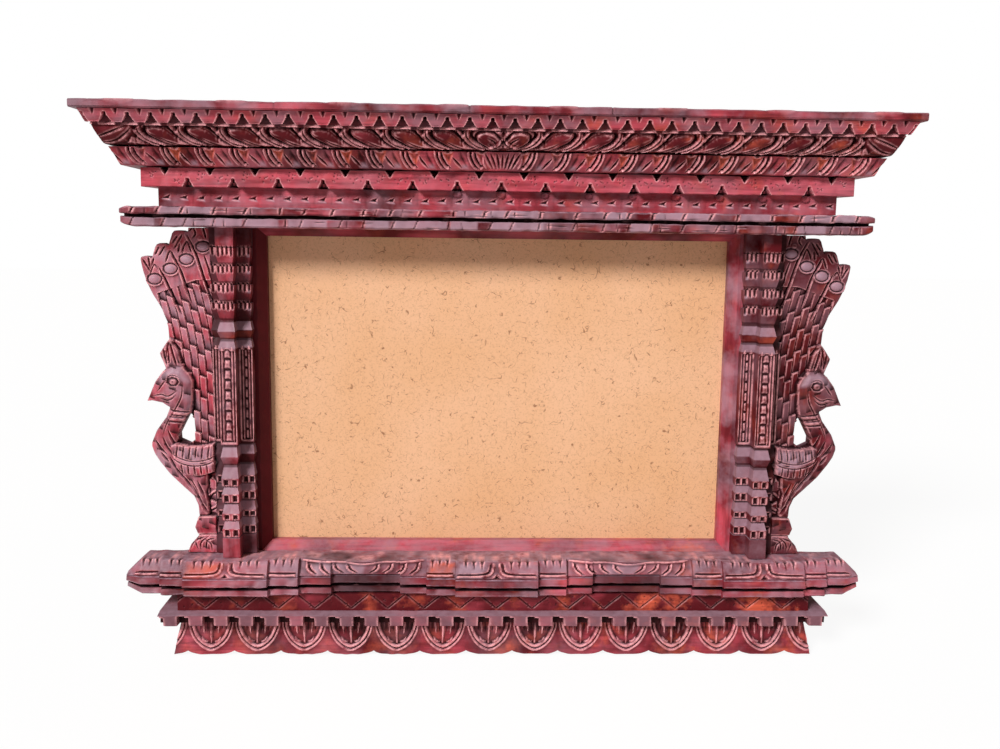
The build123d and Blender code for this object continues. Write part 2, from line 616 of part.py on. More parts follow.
def shaft_leaves(left_x, right_x, depth):
    """Adds the overlapping scales in a shaft's panel."""
    low = sill_top_z + POST_BASE_BLOCK + FOOT_TIER_COUNT * FOOT_TIER_PITCH - FOOT_TIER_SLOPE + COLLAR_HEIGHT
    high = ledge_z - POST_TOP_BLOCK - CAP_TIER_COUNT * CAP_TIER_PITCH - DIAMOND_HEIGHT
    low += SHAFT_PANEL_MARGIN
    high -= 2 * SHAFT_PANEL_MARGIN
    count = max(1, int((high - low) / SHAFT_LEAF_PITCH))
    pitch = (high - low) / count
    inner_left, inner_right = left_x + SHAFT_PANEL_MARGIN, right_x - SHAFT_PANEL_MARGIN
    middle = (inner_left + inner_right) / 2
    floor_y = -(depth - SHAFT_SETBACK - SHAFT_PANEL_CUT)
    for n in range(count):
        z = low + n * pitch
        side_z = z + pitch * SCALE_SIDE_RISE
        tip_z = z + pitch * SCALE_TIP_RISE
        corners = [(middle, y, tip_z) for y in (floor_y + REACH, floor_y - SCALE_TIP_LIFT)]
        for x in (inner_left, inner_right):
            corners += [(x, floor_y + REACH, z + pitch), (x, floor_y - SCALE_TOP_LIFT, z + pitch),
                        (x, floor_y + REACH, side_z), (x, floor_y - SCALE_SIDE_LIFT, side_z)]
        ConvexPolyhedron(corners)


with BuildPart() as right_post:
    front_prism([(post_inner_x, sill_top_z), (post_outer_x, sill_top_z), (post_outer_x, ledge_z),
                 (post_inner_x, ledge_z)], FRAME_DEPTH, FRAME_DEPTH + POST_BACKING)
    post_cuts = rib(post_inner_x, rib_x + TIER_PINCH, SIDE_RIB_DEPTH, SIDE_FLUTE_COUNT, SIDE_SLOT_COUNT)
    post_cuts += rib(rib_outer_x - TIER_PINCH, post_outer_x, SIDE_RIB_DEPTH,
                     SIDE_FLUTE_COUNT, SIDE_SLOT_COUNT)
    post_cuts += rib(rib_x, rib_outer_x, FRONT_RIB_DEPTH, FRONT_FLUTE_COUNT, FRONT_SLOT_COUNT)
    cut_all(post_cuts)
    shaft_leaves(rib_x, rib_outer_x, FRONT_RIB_DEPTH)
    for low, high in ((sill_top_z - TENON_LENGTH, sill_top_z), (ledge_z, ledge_z + TENON_LENGTH)):
        front_prism([(tenon_x - TENON_WIDTH / 2, low), (tenon_x + TENON_WIDTH / 2, low),
                     (tenon_x + TENON_WIDTH / 2, high), (tenon_x - TENON_WIDTH / 2, high)],
                    FRAME_DEPTH + POST_BACKING, FRAME_DEPTH + POST_BACKING + TENON_DEPTH)

with BuildPart() as left_post:
    mirror(right_post.part, about=Plane.YZ)

# The peacocks: points are distances out from the post and up from the sill
TAIL_OUTLINE = [
    (0, 209), (13.3, 209), (15.5, 206.9), (22.9, 206.9), (25, 200.1), (25.9, 198.7), (32.8, 198.7),
    (35.3, 192), (35.6, 190.8), (42.9, 190.7), (43.4, 185.5), (41.9, 179.6), (37.5, 168.7), (32.2, 159.7), (28, 147.2),
    (27.6, 135.6), (24, 120), (14, 96), (13, 87.2), (13, 74.1), (16.6, 70), (0, 64),
]
BIRD_OUTLINE = [
    (0, 23.5), (0, 70), (13, 70.4), (18, 70.2), (21.7, 74.1), (20.6, 83.4), (17, 89.7), (13.6, 97),
    (13.4, 105), (14, 114), (18, 120), (21, 127), (26.5, 137.6), (32.8, 130), (29.6, 120.9), (35.9, 112.2), (41.4, 101),
    (37.8, 99.4), (31.3, 98.8), (27.4, 95.7), (29.6, 89.6), (36, 80.7), (39.1, 72), (37.5, 66), (28.3, 52.6),
    (13.5, 37.9), (11, 32.1), (10.8, 23.5),
]
WING = [(0, 67.5), (13, 67), (22, 68), (29.5, 65), (27, 58), (21, 52.4), (0, 53.5)]
LEAF_FOOT = [(0, 0), (18.8, 0), (18.5, 2.5), (16.5, 5.9), (11.7, 11.2), (0, 11.2)]
PEDESTAL_TOP, PEDESTAL_EDGE, PEDESTAL_LOW = 23.5, 17.7, 11.2
PEDESTAL_WIDTH = 12.9
FEATHER_EYES = [(5.5, 196.5), (15.3, 189), (25.2, 182.8), (34.6, 176)]
FEATHER_EYE_RADIUS = 4.2
TAIL_RIBS = [[(14, 204), (0.8, 160)], [(24.5, 196), (8, 160), (3.5, 132)], [(35, 188), (19, 157), (11, 118)]]
BARB_ROW_COUNT = 7
BARB_ROW_PITCH = 13.5
BARB_ROW_RISE = 4.0


def beside_post(points):
    """Returns points beside the right post as X and Z."""
    return [(post_outer_x + out, sill_top_z + up * post_height / TAIL_OUTLINE[0][1]) for out, up in points]


def on_relief(point, depth):
    """Returns a point of a peacock's relief at a depth."""
    (x, z), = beside_post([point])
    return Vector(x, -depth, z)


def strokes(lines, depth):
    """Returns the chips along some lines of a peacock's relief, each line a list of points."""
    return [
        groove(on_relief(start, depth), on_relief(end, depth), (0, -1, 0),
               BIRD_GROOVE_WIDTH, BIRD_GROOVE_DEPTH)
        for line in lines
        for start, end in zip(line, line[1:])
    ]


with BuildPart() as right_peacock:
    front_prism(beside_post(TAIL_OUTLINE), PEACOCK_BACK_DEPTH, TAIL_DEPTH)
    tail_cuts = strokes(TAIL_RIBS, TAIL_DEPTH)
    for n in range(BARB_ROW_COUNT):
        up = WING[0][1] + (n + 1) * BARB_ROW_PITCH
        tail_cuts += strokes([[(1, up + BARB_ROW_RISE), (9 + n * 2.8, up)]], TAIL_DEPTH)
    cut_all(tail_cuts)
    for eye in FEATHER_EYES:
        with BuildSketch(Plane(on_relief(eye, TAIL_DEPTH), x_dir=(1, 0, 0), z_dir=(0, -1, 0))) as feather:
            RegularPolygon(radius=FEATHER_EYE_RADIUS, side_count=7)
        extrude(feather.sketch, amount=FEATHER_LIFT)
    front_prism(beside_post(BIRD_OUTLINE), PEACOCK_BACK_DEPTH, BIRD_DEPTH)
    front_prism(beside_post(WING), PEACOCK_BACK_DEPTH, WING_DEPTH)
    front_prism(beside_post(LEAF_FOOT), PEACOCK_BACK_DEPTH, FOOT_DEPTH)
    (pedestal_x, _), = beside_post([(PEDESTAL_WIDTH, 0)])
    levels = [z for _, z in beside_post([(0, PEDESTAL_TOP), (0, PEDESTAL_EDGE), (0, PEDESTAL_LOW)])]
    top_z, edge_z, low_z = levels
    pedestal_profile = [
        (PEACOCK_BACK_DEPTH, low_z), (PEDESTAL_DEPTH - PEDESTAL_UNDERCUT, low_z), (PEDESTAL_DEPTH, edge_z),
        (PEDESTAL_DEPTH - PEDESTAL_SLOPE, top_z), (PEACOCK_BACK_DEPTH, top_z),
    ]
    side_prism(pedestal_profile, post_outer_x, pedestal_x)
    crest_lines = [[(20 + 2.8 * n, 131 - abs(n - 1)), (20 + 2.6 * n, 122.5)] for n in range(4)]
    collar_lines = [[(18.5, 92 - 3 * n), (27 + 2 * n, 88 - 3 * n)] for n in range(2)]
    head_lines = [[(24, 113.5), (28.5, 113)], [(29, 104), (37.5, 102)]]
    breast_lines = [[(23 + 4 * n, 80 + 1.5 * n), (31.5 + 1.6 * n, 67.5 + n)] for n in range(2)]
    body_lines = [[(22 - 5.5 * n, 50), (9 - 2.3 * n, 29)] for n in range(4)]
    feather_lines = [[(3 + 4.8 * n, 66), (3 + 4.6 * n, 63)] for n in range(5)]
    feather_lines += [[(3 + 4.8 * n, 59.5), (3 + 4.2 * n, 55.5)] for n in range(5)]
    foot_lines = [[(11.5 - 5 * n, 9.5), (15.5 - 5 * n, 1.5)] for n in range(2)]
    bird_cuts = strokes(crest_lines + collar_lines + head_lines + breast_lines + body_lines, BIRD_DEPTH)
    bird_cuts += strokes(feather_lines + [[(1, 61.7), (27, 61.7)]], WING_DEPTH)
    bird_cuts += strokes(foot_lines, FOOT_DEPTH)
    cut_all(bird_cuts)

with BuildPart() as left_peacock:
    mirror(right_peacock.part, about=Plane.YZ)


# The base, from the top down
def sill_profile(top_depth, rim_depth):
    """Returns the sill's profile as depth and height, for a front that reaches a rim depth."""
    lower_lip_z = sill_z + SILL_LIP_HEIGHT
    upper_lip_z = lower_lip_z + SILL_GROOVE_HEIGHT
    rim_z = upper_lip_z + SILL_LIP_HEIGHT
    lower_lip = rim_depth - SILL_LOWER_LIP_SETBACK
    upper_lip = rim_depth - SILL_UPPER_LIP_SETBACK
    return [
        (FRAME_DEPTH, sill_z), (lower_lip - SILL_EASE, sill_z), (lower_lip, sill_z + SILL_EASE),
        (lower_lip, lower_lip_z),
        (rim_depth - SILL_GROOVE_DEPTH, lower_lip_z), (rim_depth - SILL_GROOVE_DEPTH, upper_lip_z),
        (upper_lip, upper_lip_z), (upper_lip, rim_z),
        (upper_lip - SILL_LINE_DEPTH, rim_z + SILL_LINE_HEIGHT / 2), (rim_depth, rim_z + SILL_LINE_HEIGHT),
        (rim_depth, rim_z + SILL_RIM_HEIGHT), (top_depth, sill_top_z), (FRAME_DEPTH, sill_top_z),
    ]


boss_step_x = BOSS_HALF + BOSS_STEP_WIDTH
lip_step_x = boss_step_x + LIP_STEP_WIDTH
side_step_x = SIDE_BOSS_CENTRE - boss_step_x
side_lip_step_x = side_step_x - LIP_STEP_WIDTH
outer_step_x = SIDE_BOSS_CENTRE + BOSS_HALF + BOSS_OUTER_STEP_WIDTH
sill_lip_top_z = sill_z + 2 * SILL_LIP_HEIGHT + SILL_GROOVE_HEIGHT

with BuildPart() as lotus_sill:
    spans = [(-BOSS_HALF, BOSS_HALF, 0)]
    for side in (-1, 1):
        for inner, outer, step in (
            (BOSS_HALF, boss_step_x, 1), (side_step_x, SIDE_BOSS_CENTRE - BOSS_HALF, 1),
            (SIDE_BOSS_CENTRE - BOSS_HALF, SIDE_BOSS_CENTRE + BOSS_HALF, 0),
            (SIDE_BOSS_CENTRE + BOSS_HALF, outer_step_x, 1), (outer_step_x, SILL_HALF, 2),
        ):
            low, high = sorted((side * inner, side * outer))
            spans.append((low, high, step))
    for low, high, step in spans:
        setback = step * SILL_STEP
        side_prism(sill_profile(SILL_TOP_DEPTH - setback, SILL_RIM_DEPTH - setback), low, high)
    for side in (-1, 1):
        low, high = sorted((side * boss_step_x, side * side_step_x))
        lip_profile = sill_profile(0, SILL_RIM_DEPTH - RUN_LIP_SETBACK)[:8]
        side_prism(lip_profile + [(FRAME_DEPTH, sill_lip_top_z)], low, high)
        for inner, outer in ((boss_step_x, lip_step_x), (side_lip_step_x, side_step_x)):
            step_low, step_high = sorted((side * inner, side * outer))
            step_profile = sill_profile(0, SILL_RIM_DEPTH - 2 * SILL_STEP)[:8]
            side_prism(step_profile + [(FRAME_DEPTH, sill_lip_top_z)], step_low, step_high)
        middle = (low + high) / 2
        back_corners = (high, -FRAME_DEPTH), (low, -FRAME_DEPTH)
        with BuildSketch(Plane.XY.offset(sill_lip_top_z)):
            with BuildLine():
                Polyline((high, -RUN_RIM_DEPTH), *back_corners, (low, -RUN_RIM_DEPTH))
                Line((low, -RUN_RIM_DEPTH), (high, -RUN_RIM_DEPTH))
            make_face()
        with BuildSketch(Plane.XY.offset(sill_top_z)):
            with BuildLine():
                Polyline((high, -RUN_END_DEPTH), *back_corners, (low, -RUN_END_DEPTH))
                ThreePointArc((low, -RUN_END_DEPTH), (middle, -RUN_MIDDLE_DEPTH), (high, -RUN_END_DEPTH))
            make_face()
        loft(ruled=True)
    cuts = []
    rim_top_z = sill_lip_top_z + SILL_RIM_HEIGHT
    for low, high, step in spans:
        setback = step * SILL_STEP
        slope = Slope(rim_top_z, sill_top_z, SILL_RIM_DEPTH - setback, SILL_TOP_DEPTH - setback)
        middle = (low + high) / 2
        count = 4 - 2 * step
        for n in range(count):
            x = middle + (n - (count - 1) / 2) * (high - low) / count
            if x < 0:
                lean = -1 if x < -SIDE_BOSS_CENTRE or -SIDE_BOSS_CENTRE / 2 < x else 1
            else:
                lean = 1 if x > SIDE_BOSS_CENTRE or x < SIDE_BOSS_CENTRE / 2 else -1
            cuts.append(pit([slope.at(x - SPIKE_WIDTH / 2, 1.0), slope.at(x + SPIKE_WIDTH / 2, 1.0),
                             slope.at(x + lean * SPIKE_WIDTH, SPIKE_TIP)], slope.out, SPIKE_DEPTH))
        if step == 0:
            cuts.append(groove(slope.at(middle, 1.0), slope.at(middle, 0.05), slope.out,
                               BOSS_FOLD_WIDTH, BOSS_FOLD_DEPTH))
    for side in (-1, 1):
        run_top_depth = (RUN_END_DEPTH + RUN_MIDDLE_DEPTH) / 2
        run_slope = Slope(rim_top_z, sill_top_z, RUN_RIM_DEPTH - REACH, run_top_depth)
        centre = side * (boss_step_x + side_step_x) / 2
        ridge_pitch = (side_step_x - boss_step_x) / (RUN_RIDGE_COUNT + 1)
        for n in range(RUN_RIDGE_COUNT):
            x = centre + (n - (RUN_RIDGE_COUNT - 1) / 2) * ridge_pitch
            lean = RUN_RIDGE_LEAN if x < centre else -RUN_RIDGE_LEAN
            cuts.append(groove(run_slope.at(x + lean, 0.1), run_slope.at(x, 0.95), run_slope.out,
                               RUN_RIDGE_WIDTH, RUN_RIDGE_DEPTH))
    for side in (-1, 1):
        edge = side * SILL_HALF
        past = edge + side * REACH
        tip_z = rim_top_z - REACH
        upper_taper = [(edge, tip_z), (edge - side * SILL_END_TAPER / 2, sill_top_z + REACH),
                       (past, sill_top_z + REACH), (past, tip_z)]
        lower_taper = [(edge, tip_z - REACH), (edge - side * SILL_END_TAPER, sill_z - REACH),
                       (past, sill_z - REACH), (past, tip_z - REACH)]
        for outline in (upper_taper, lower_taper):
            corners = [(px, -d, pz) for px, pz in outline
                       for d in (FRAME_DEPTH - REACH, SILL_RIM_DEPTH + REACH)]
            cuts.append(ConvexPolyhedron(corners, mode=Mode.PRIVATE))
        back_corner = [(past, FRAME_DEPTH - REACH), (edge - side * SILL_END_TOP_TAPER, FRAME_DEPTH - REACH),
                       (past, FRAME_DEPTH + SILL_END_TOP_TAPER)]
        corners = [(px, -d, pz) for px, d in back_corner for pz in (sill_z - REACH, sill_top_z + REACH)]
        cuts.append(ConvexPolyhedron(corners, mode=Mode.PRIVATE))
    cut_all(cuts)
    for side in (-1, 1):
        mortise(side * tenon_x, sill_top_z - TENON_LENGTH - TENON_PLAY, sill_top_z + REACH)

with BuildPart() as zigzag_band:
    plank(zigzag_z, frame_z, ZIGZAG_HALF, ZIGZAG_HALF, ZIGZAG_DEPTH, ZIGZAG_DEPTH)
    scores = []
    zigzag_count = int(2 * ZIGZAG_HALF / ZIGZAG_PITCH)
    for n in range(zigzag_count):
        x = (n - (zigzag_count - 1) / 2) * ZIGZAG_PITCH
        for lean in (-1, 1):
            start_x = x + lean * ZIGZAG_PITCH * (0.5 - ZIGZAG_POINT_SHARE)
            end_x = x + lean * ZIGZAG_PITCH * ZIGZAG_POINT_SHARE
            scores.append(groove((start_x, -ZIGZAG_DEPTH, frame_z - ZIGZAG_TOP_MARGIN),
                                 (end_x, -ZIGZAG_DEPTH, zigzag_z + ZIGZAG_LOW_MARGIN), (0, -1, 0),
                                 ZIGZAG_CUT_WIDTH, ZIGZAG_CUT_DEPTH))
    cut_all(scores)

with BuildPart() as dentil_moulding:
    slope_z = zigzag_z - DENTIL_SLOPE_HEIGHT
    side_prism([(0, dentil_z), (DENTIL_DEPTH, dentil_z), (DENTIL_DEPTH, slope_z), (ZIGZAG_DEPTH, zigzag_z),
                (0, zigzag_z)], -DENTIL_HALF, DENTIL_HALF)
    gaps = []
    gap_count = int(2 * DENTIL_HALF / DENTIL_PITCH) - 1
    for n in range(gap_count + 1):
        x = (n - gap_count / 2) * DENTIL_PITCH
        gaps.append(pit([(px, -DENTIL_DEPTH, pz) for px in (x - DENTIL_GAP / 2, x + DENTIL_GAP / 2)
                         for pz in (dentil_z - REACH, slope_z - DENTIL_GAP_MARGIN)],
                        (0, -1, 0), DENTIL_CUT_DEPTH))
    for side in (-1, 1):
        edge = side * DENTIL_HALF
        gaps.append(ConvexPolyhedron(
            [(px, -d, pz) for px, pz in (
                (edge + side * REACH, dentil_z - REACH), (edge - side * DENTIL_END_CUT, dentil_z - REACH),
                (edge, dentil_z + DENTIL_END_RISE), (edge + side * REACH, dentil_z + DENTIL_END_RISE))
             for d in (-REACH, DENTIL_DEPTH + REACH)], mode=Mode.PRIVATE))
    cut_all(gaps)

with BuildPart() as petal_skirt:
    plank(0, dentil_z, PETAL_LOW_HALF, PETAL_TOP_HALF, PETAL_LOW_DEPTH, PETAL_TOP_DEPTH)
    petal_slope = Slope(0, dentil_z, PETAL_LOW_DEPTH, PETAL_TOP_DEPTH)
    reach = PETAL_PITCH / 2 - PETAL_MARGIN
    side_petals = int((PETAL_TOP_HALF - abs(PETAL_ROW_SHIFT) - reach) / PETAL_PITCH)
    petal_cuts = []
    for n in range(-side_petals, side_petals + 1):
        middle = PETAL_ROW_SHIFT + n * PETAL_PITCH
        for side in (-1, 1):
            for (start, start_up), (end, end_up) in zip(PETAL_ARCH, PETAL_ARCH[1:]):
                petal_cuts.append(groove(petal_slope.at(middle + side * reach * start, start_up),
                                         petal_slope.at(middle + side * reach * end, end_up),
                                         petal_slope.out, PETAL_CUT_WIDTH, PETAL_CUT_DEPTH))
        vein_top, vein_low = (petal_slope.at(middle, share) for share in PETAL_VEIN)
        petal_cuts.append(groove(vein_top, vein_low, petal_slope.out, PETAL_CUT_WIDTH, PETAL_CUT_DEPTH))
    cut_all(petal_cuts)
    scallops = []
    for n in range(-side_petals, side_petals + 2):
        x = PETAL_ROW_SHIFT + (n - 0.5) * PETAL_PITCH
        scallop = [(x - PETAL_SCALLOP_WIDTH / 2, -REACH / 10), (x + PETAL_SCALLOP_WIDTH / 2, -REACH / 10),
                   (x, PETAL_SCALLOP)]
        corners = [(px, -d, pz) for px, pz in scallop for d in (-REACH, PETAL_LOW_DEPTH + REACH)]
        scallops.append(ConvexPolyhedron(corners, mode=Mode.PRIVATE))
    cut_all(scallops)

os.makedirs("parts", exist_ok=True)
finished = {
    "cornice_cap": cornice_cap,
    "tooth_moulding": tooth_moulding,
    "large_leaf_moulding": large_leaf_moulding,
    "small_leaf_moulding": small_leaf_moulding,
    "notched_fascia": notched_fascia,
    "chip_frieze": chip_frieze,
    "eave_ledge": eave_ledge,
    **frame_sticks,
    "board_points": board_points,
    "backing_board": backing_board,
    "left_post": left_post,
    "right_post": right_post,
    "left_peacock": left_peacock,
    "right_peacock": right_peacock,
    "lotus_sill": lotus_sill,
    "zigzag_band": zigzag_band,
    "dentil_moulding": dentil_moulding,
    "petal_skirt": petal_skirt,
}
for name, piece in finished.items():
    piece.part.label = name
    export_step(piece.part, f"parts/{name}.step")
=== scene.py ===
import math
from contextlib import contextmanager

import bmesh
import bpy
import numpy as np
from mathutils import Matrix, Vector


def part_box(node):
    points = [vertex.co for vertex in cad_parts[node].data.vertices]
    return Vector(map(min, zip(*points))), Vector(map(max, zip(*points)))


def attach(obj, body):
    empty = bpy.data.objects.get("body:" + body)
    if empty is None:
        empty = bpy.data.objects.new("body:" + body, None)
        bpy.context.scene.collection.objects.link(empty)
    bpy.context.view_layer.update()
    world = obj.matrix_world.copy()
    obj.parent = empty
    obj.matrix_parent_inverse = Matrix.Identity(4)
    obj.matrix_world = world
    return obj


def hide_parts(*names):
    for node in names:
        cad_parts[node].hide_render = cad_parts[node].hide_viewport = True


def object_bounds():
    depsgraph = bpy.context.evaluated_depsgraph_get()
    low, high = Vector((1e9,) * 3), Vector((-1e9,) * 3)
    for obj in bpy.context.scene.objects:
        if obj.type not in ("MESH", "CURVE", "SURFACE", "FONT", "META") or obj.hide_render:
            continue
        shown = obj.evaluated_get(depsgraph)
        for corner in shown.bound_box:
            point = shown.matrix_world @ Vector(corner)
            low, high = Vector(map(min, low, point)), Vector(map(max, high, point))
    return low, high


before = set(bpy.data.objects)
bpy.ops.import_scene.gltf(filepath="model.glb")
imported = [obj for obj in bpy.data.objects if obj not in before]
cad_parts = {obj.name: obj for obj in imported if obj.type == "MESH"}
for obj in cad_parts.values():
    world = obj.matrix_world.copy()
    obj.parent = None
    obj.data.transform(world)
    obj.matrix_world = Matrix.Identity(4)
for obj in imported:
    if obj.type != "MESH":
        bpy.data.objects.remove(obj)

bl_info = {
    "name": "Carved window",
    "version": (1, 0, 0),
    "blender": (4, 5, 0),
    "location": "View3D > Sidebar > Carved window",
    "description": "Carves and paints the cornice, posts, birds, sill and base of a wooden window",
    "category": "Object",
}

MM = 0.001
CAD_BOX = [list(corner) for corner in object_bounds()]
NODE_SLACK = 0.3 * MM
SHARP_ANGLE = math.radians(38)
# The ledge, the sill and the posts stand in front of the frame, from this depth on, in millimetres
FRAME_FRONT = 17
# The heights at which the stacked strips meet, from the petals' top to the cap, in millimetres
DENTIL_FOOT, ZIGZAG_FOOT, SILL_FOOT, SILL_TOP = 24, 32.3, 43.7, 67.5
LEDGE_FOOT, FRIEZE_FOOT, FASCIA_FOOT = 276.5, 289, 300.6
SMALL_LEAF_FOOT, LARGE_LEAF_FOOT, TOOTH_FOOT, CAP_FOOT = 312, 323, 334.5, 343


def limits(node):
    """The lowest and the highest corner of a node, in millimetres."""
    low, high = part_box(node)
    return [value / MM for value in low], [value / MM for value in high]


# Carving: heights over a grid


def curve_through(points, steps=6):
    """A smooth line through some points, or a straight one through two."""
    points = np.asarray(points, float)
    if len(points) < 3:
        return points
    ends = np.vstack([2 * points[0] - points[1], points, 2 * points[-1] - points[-2]])
    share = np.linspace(0, 1, steps, endpoint=False)[:, None]
    stretches = []
    for a, b, c, d in zip(ends, ends[1:], ends[2:], ends[3:]):
        stretches.append(
            b + share * (c - a) / 2 + share**2 * (2 * a - 5 * b + 4 * c - d) / 2
            + share**3 * (3 * b - a - 3 * c + d) / 2
        )
    return np.vstack(stretches + [points[-1:]])


def from_path(path, u, v):
    """The distance of grid points from a line, the side they lie on, and the share of its length there."""
    nearest = np.full(u.shape, np.inf)
    side = np.zeros(u.shape)
    share = np.zeros(u.shape)
    lengths = np.hypot(*(path[1:] - path[:-1]).T)
    total = lengths.sum()
    walked = 0.0
    for (au, av), (bu, bv), length in zip(path, path[1:], lengths):
        if length == 0:
            continue
        du, dv = (bu - au) / length, (bv - av) / length
        along = np.clip((u - au) * du + (v - av) * dv, 0, length)
        off_u, off_v = u - au - along * du, v - av - along * dv
        distance = np.hypot(off_u, off_v)
        closer = distance < nearest
        nearest = np.where(closer, distance, nearest)
        side = np.where(closer, np.sign(du * off_v - dv * off_u), side)
        share = np.where(closer, (walked + along) / total, share)
        walked += length
    return nearest, side, share


def inside_distance(corners, u, v):
    """How far inside a closed outline each point lies; negative outside it."""
    corners = np.asarray(corners, float)
    nearest = np.full(u.shape, np.inf)
    within = np.zeros(u.shape, bool)
    for (au, av), (bu, bv) in zip(corners, np.roll(corners, -1, axis=0)):
        du, dv = bu - au, bv - av
        share = np.clip(((u - au) * du + (v - av) * dv) / (du * du + dv * dv), 0, 1)
        nearest = np.minimum(nearest, np.hypot(u - au - share * du, v - av - share * dv))
        crossing = (av > v) != (bv > v)
        edge_u = du * (v - av) / (dv if dv else 1.0) + au
        within ^= crossing & (u < edge_u)
    return np.where(within, nearest, -nearest)


def uneven(u, v, spacing, seed):
    """Smooth random heights between -1 and 1, with hollows and swellings about as wide as the spacing."""
    chance = np.random.default_rng(seed)
    across, up = (u - u.min()) / spacing, (v - v.min()) / spacing
    lattice = chance.uniform(-1, 1, (int(up.max()) + 2, int(across.max()) + 2))
    column, row = across.astype(int), up.astype(int)
    s, t = across - column, up - row
    s, t = s * s * (3 - 2 * s), t * t * (3 - 2 * t)
    low = lattice[row, column] * (1 - s) + lattice[row, column + 1] * s
    high = lattice[row + 1, column] * (1 - s) + lattice[row + 1, column + 1] * s
    return low * (1 - t) + high * t


def softened(heights, reach):
    """Heights averaged over a square of a few cells each way."""
    for axis in (0, 1):
        widths = [(0, 0), (0, 0)]
        widths[axis] = (reach, reach)
        padded = np.cumsum(np.pad(heights, widths, mode="edge"), axis=axis)
        padded = np.concatenate([np.zeros_like(np.take(padded, [0], axis)), padded], axis=axis)
        count = heights.shape[axis]
        later = np.take(padded, range(2 * reach + 1, 2 * reach + 1 + count), axis)
        earlier = np.take(padded, range(count), axis)
        heights = (later - earlier) / (2 * reach + 1)
    return heights


class Relief:
    """A carved surface: heights in millimetres over a grid of points across (u) and up (v)."""

    # The cells that a hollow and an edge are measured against, and what counts as full, in millimetres
    WIDE, NARROW = 3, 1
    HOLLOW_DEPTH, EDGE_HEIGHT, EDGE_START, PIT_FLOOR = 0.55, 0.18, 0.35, 1.5

    def __init__(self, across, up):
        self.u, self.v = np.meshgrid(across, up)
        self.base = np.zeros_like(self.u)
        self.raised = np.zeros_like(self.u)
        self.cuts = np.zeros_like(self.u)
        self.tints = {kind: np.zeros_like(self.u) for kind in ("pale", "ember", "shadow")}

    def around(self, points, reach):
        """The part of the grid around some points."""
        low, high = np.min(points, axis=0) - reach, np.max(points, axis=0) + reach
        rows = np.searchsorted(self.v[:, 0], (low[1], high[1]))
        columns = np.searchsorted(self.u[0], (low[0], high[0]))
        return slice(*rows), slice(*columns)

    def stroke(self, points, width, taper, lean=0.0):
        """The part of the grid near a line, how near its middle each point lies, and how full it is there."""
        path = curve_through(points)
        part = self.around(path, width)
        distance, side, share = from_path(path, self.u[part], self.v[part])
        fullness = np.clip(np.minimum(share, 1 - share) / taper, 0, 1)
        wall = width / 2 * (1 + lean * side) * (0.4 + 0.6 * fullness)
        return part, np.clip(1 - distance / wall, 0, 1), np.sqrt(fullness)

    def groove(self, points, width, depth, lean=0.0, taper=0.3):
        """Cuts a V groove along a curve. A lean widens the wall on its left and narrows the other."""
        part, nearness, fullness = self.stroke(points, width, taper, lean)
        self.cuts[part] = np.maximum(self.cuts[part], depth * fullness * nearness)

    def bead(self, points, width, lift, taper=0.2):
        """Leaves a rounded ridge along a curve."""
        part, nearness, fullness = self.stroke(points, width, taper)
        roundness = np.sqrt(1 - (1 - nearness) ** 2)
        self.raised[part] = np.maximum(self.raised[part], lift * fullness * roundness)

    def pit(self, corners, depth, wall):
        """Cuts a pit under an outline, with walls that take some width to reach the floor."""
        part = self.around(corners, 0.1)
        inside = inside_distance(corners, self.u[part], self.v[part])
        self.cuts[part] = np.maximum(self.cuts[part], depth * np.clip(inside / wall, 0, 1))

    def dome(self, u, v, half_width, half_height, lift):
        """Leaves a rounded boss."""
        part = self.around([(u - half_width, v - half_height), (u + half_width, v + half_height)], 0.1)
        far = ((self.u[part] - u) / half_width) ** 2 + ((self.v[part] - v) / half_height) ** 2
        self.raised[part] = np.maximum(self.raised[part], lift * np.sqrt(np.clip(1 - far, 0, 1)))

    def level(self, corners, height, wall, shoulder=0.0, drop=0.0):
        """Brings an area to one height; its edge may fall off by a drop over a rounded shoulder."""
        part = self.around(corners, wall)
        inside = inside_distance(corners, self.u[part], self.v[part])
        share = np.clip(inside / wall + 0.5, 0, 1)
        crown = height
        if shoulder:
            crown = height - drop * (1 - np.clip(inside / shoulder, 0, 1)) ** 2
        for layer in (self.raised, self.cuts):
            layer[part] = layer[part] * (1 - share)
        self.base[part] = self.base[part] * (1 - share) + crown * share

    def punch(self, u, v, radius, depth):
        """Pricks a small round hole."""
        part = self.around([(u - radius, v - radius), (u + radius, v + radius)], 0.1)
        distance = np.hypot(self.u[part] - u, self.v[part] - v)
        self.cuts[part] = np.maximum(self.cuts[part], depth * np.clip(1.4 - 1.4 * distance / radius, 0, 1))

    def tint(self, kind, corners, fade):
        """Marks an area for a paler paint, which in places is painted light, for a warmer paint, or for
        painted shadow.
        """
        part = self.around(corners, fade)
        inside = inside_distance(corners, self.u[part], self.v[part])
        self.tints[kind][part] = np.maximum(self.tints[kind][part], np.clip(inside / fade + 0.5, 0, 1))

    def heights(self):
        return self.base + self.raised - self.cuts

    def marks(self, extra=0.0):
        """Painted shade where the surface lies in a hollow, joined with the painted shadow tint, where it
        lies on an edge, and its other tints.
        """
        heights = self.heights() + extra
        soft = softened(softened(heights, self.WIDE), self.WIDE)
        # painted shade: the deeper a point lies below its softened surroundings, the darker it is painted
        hollow = np.clip((soft - heights) / self.HOLLOW_DEPTH, 0, 1)
        shallow = np.maximum(heights, np.median(heights) - self.PIT_FLOOR)
        soft = softened(softened(shallow, self.NARROW), self.NARROW)
        edge = np.clip((shallow - soft) / self.EDGE_HEIGHT - self.EDGE_START, 0, 1)
        tints = {kind: tint for kind, tint in self.tints.items() if kind != "shadow"}
        # the shadow tint is painted shadow and goes in with the painted shade
        return {"hollow": np.maximum(hollow, self.tints["shadow"]), "edge": edge, **tints}


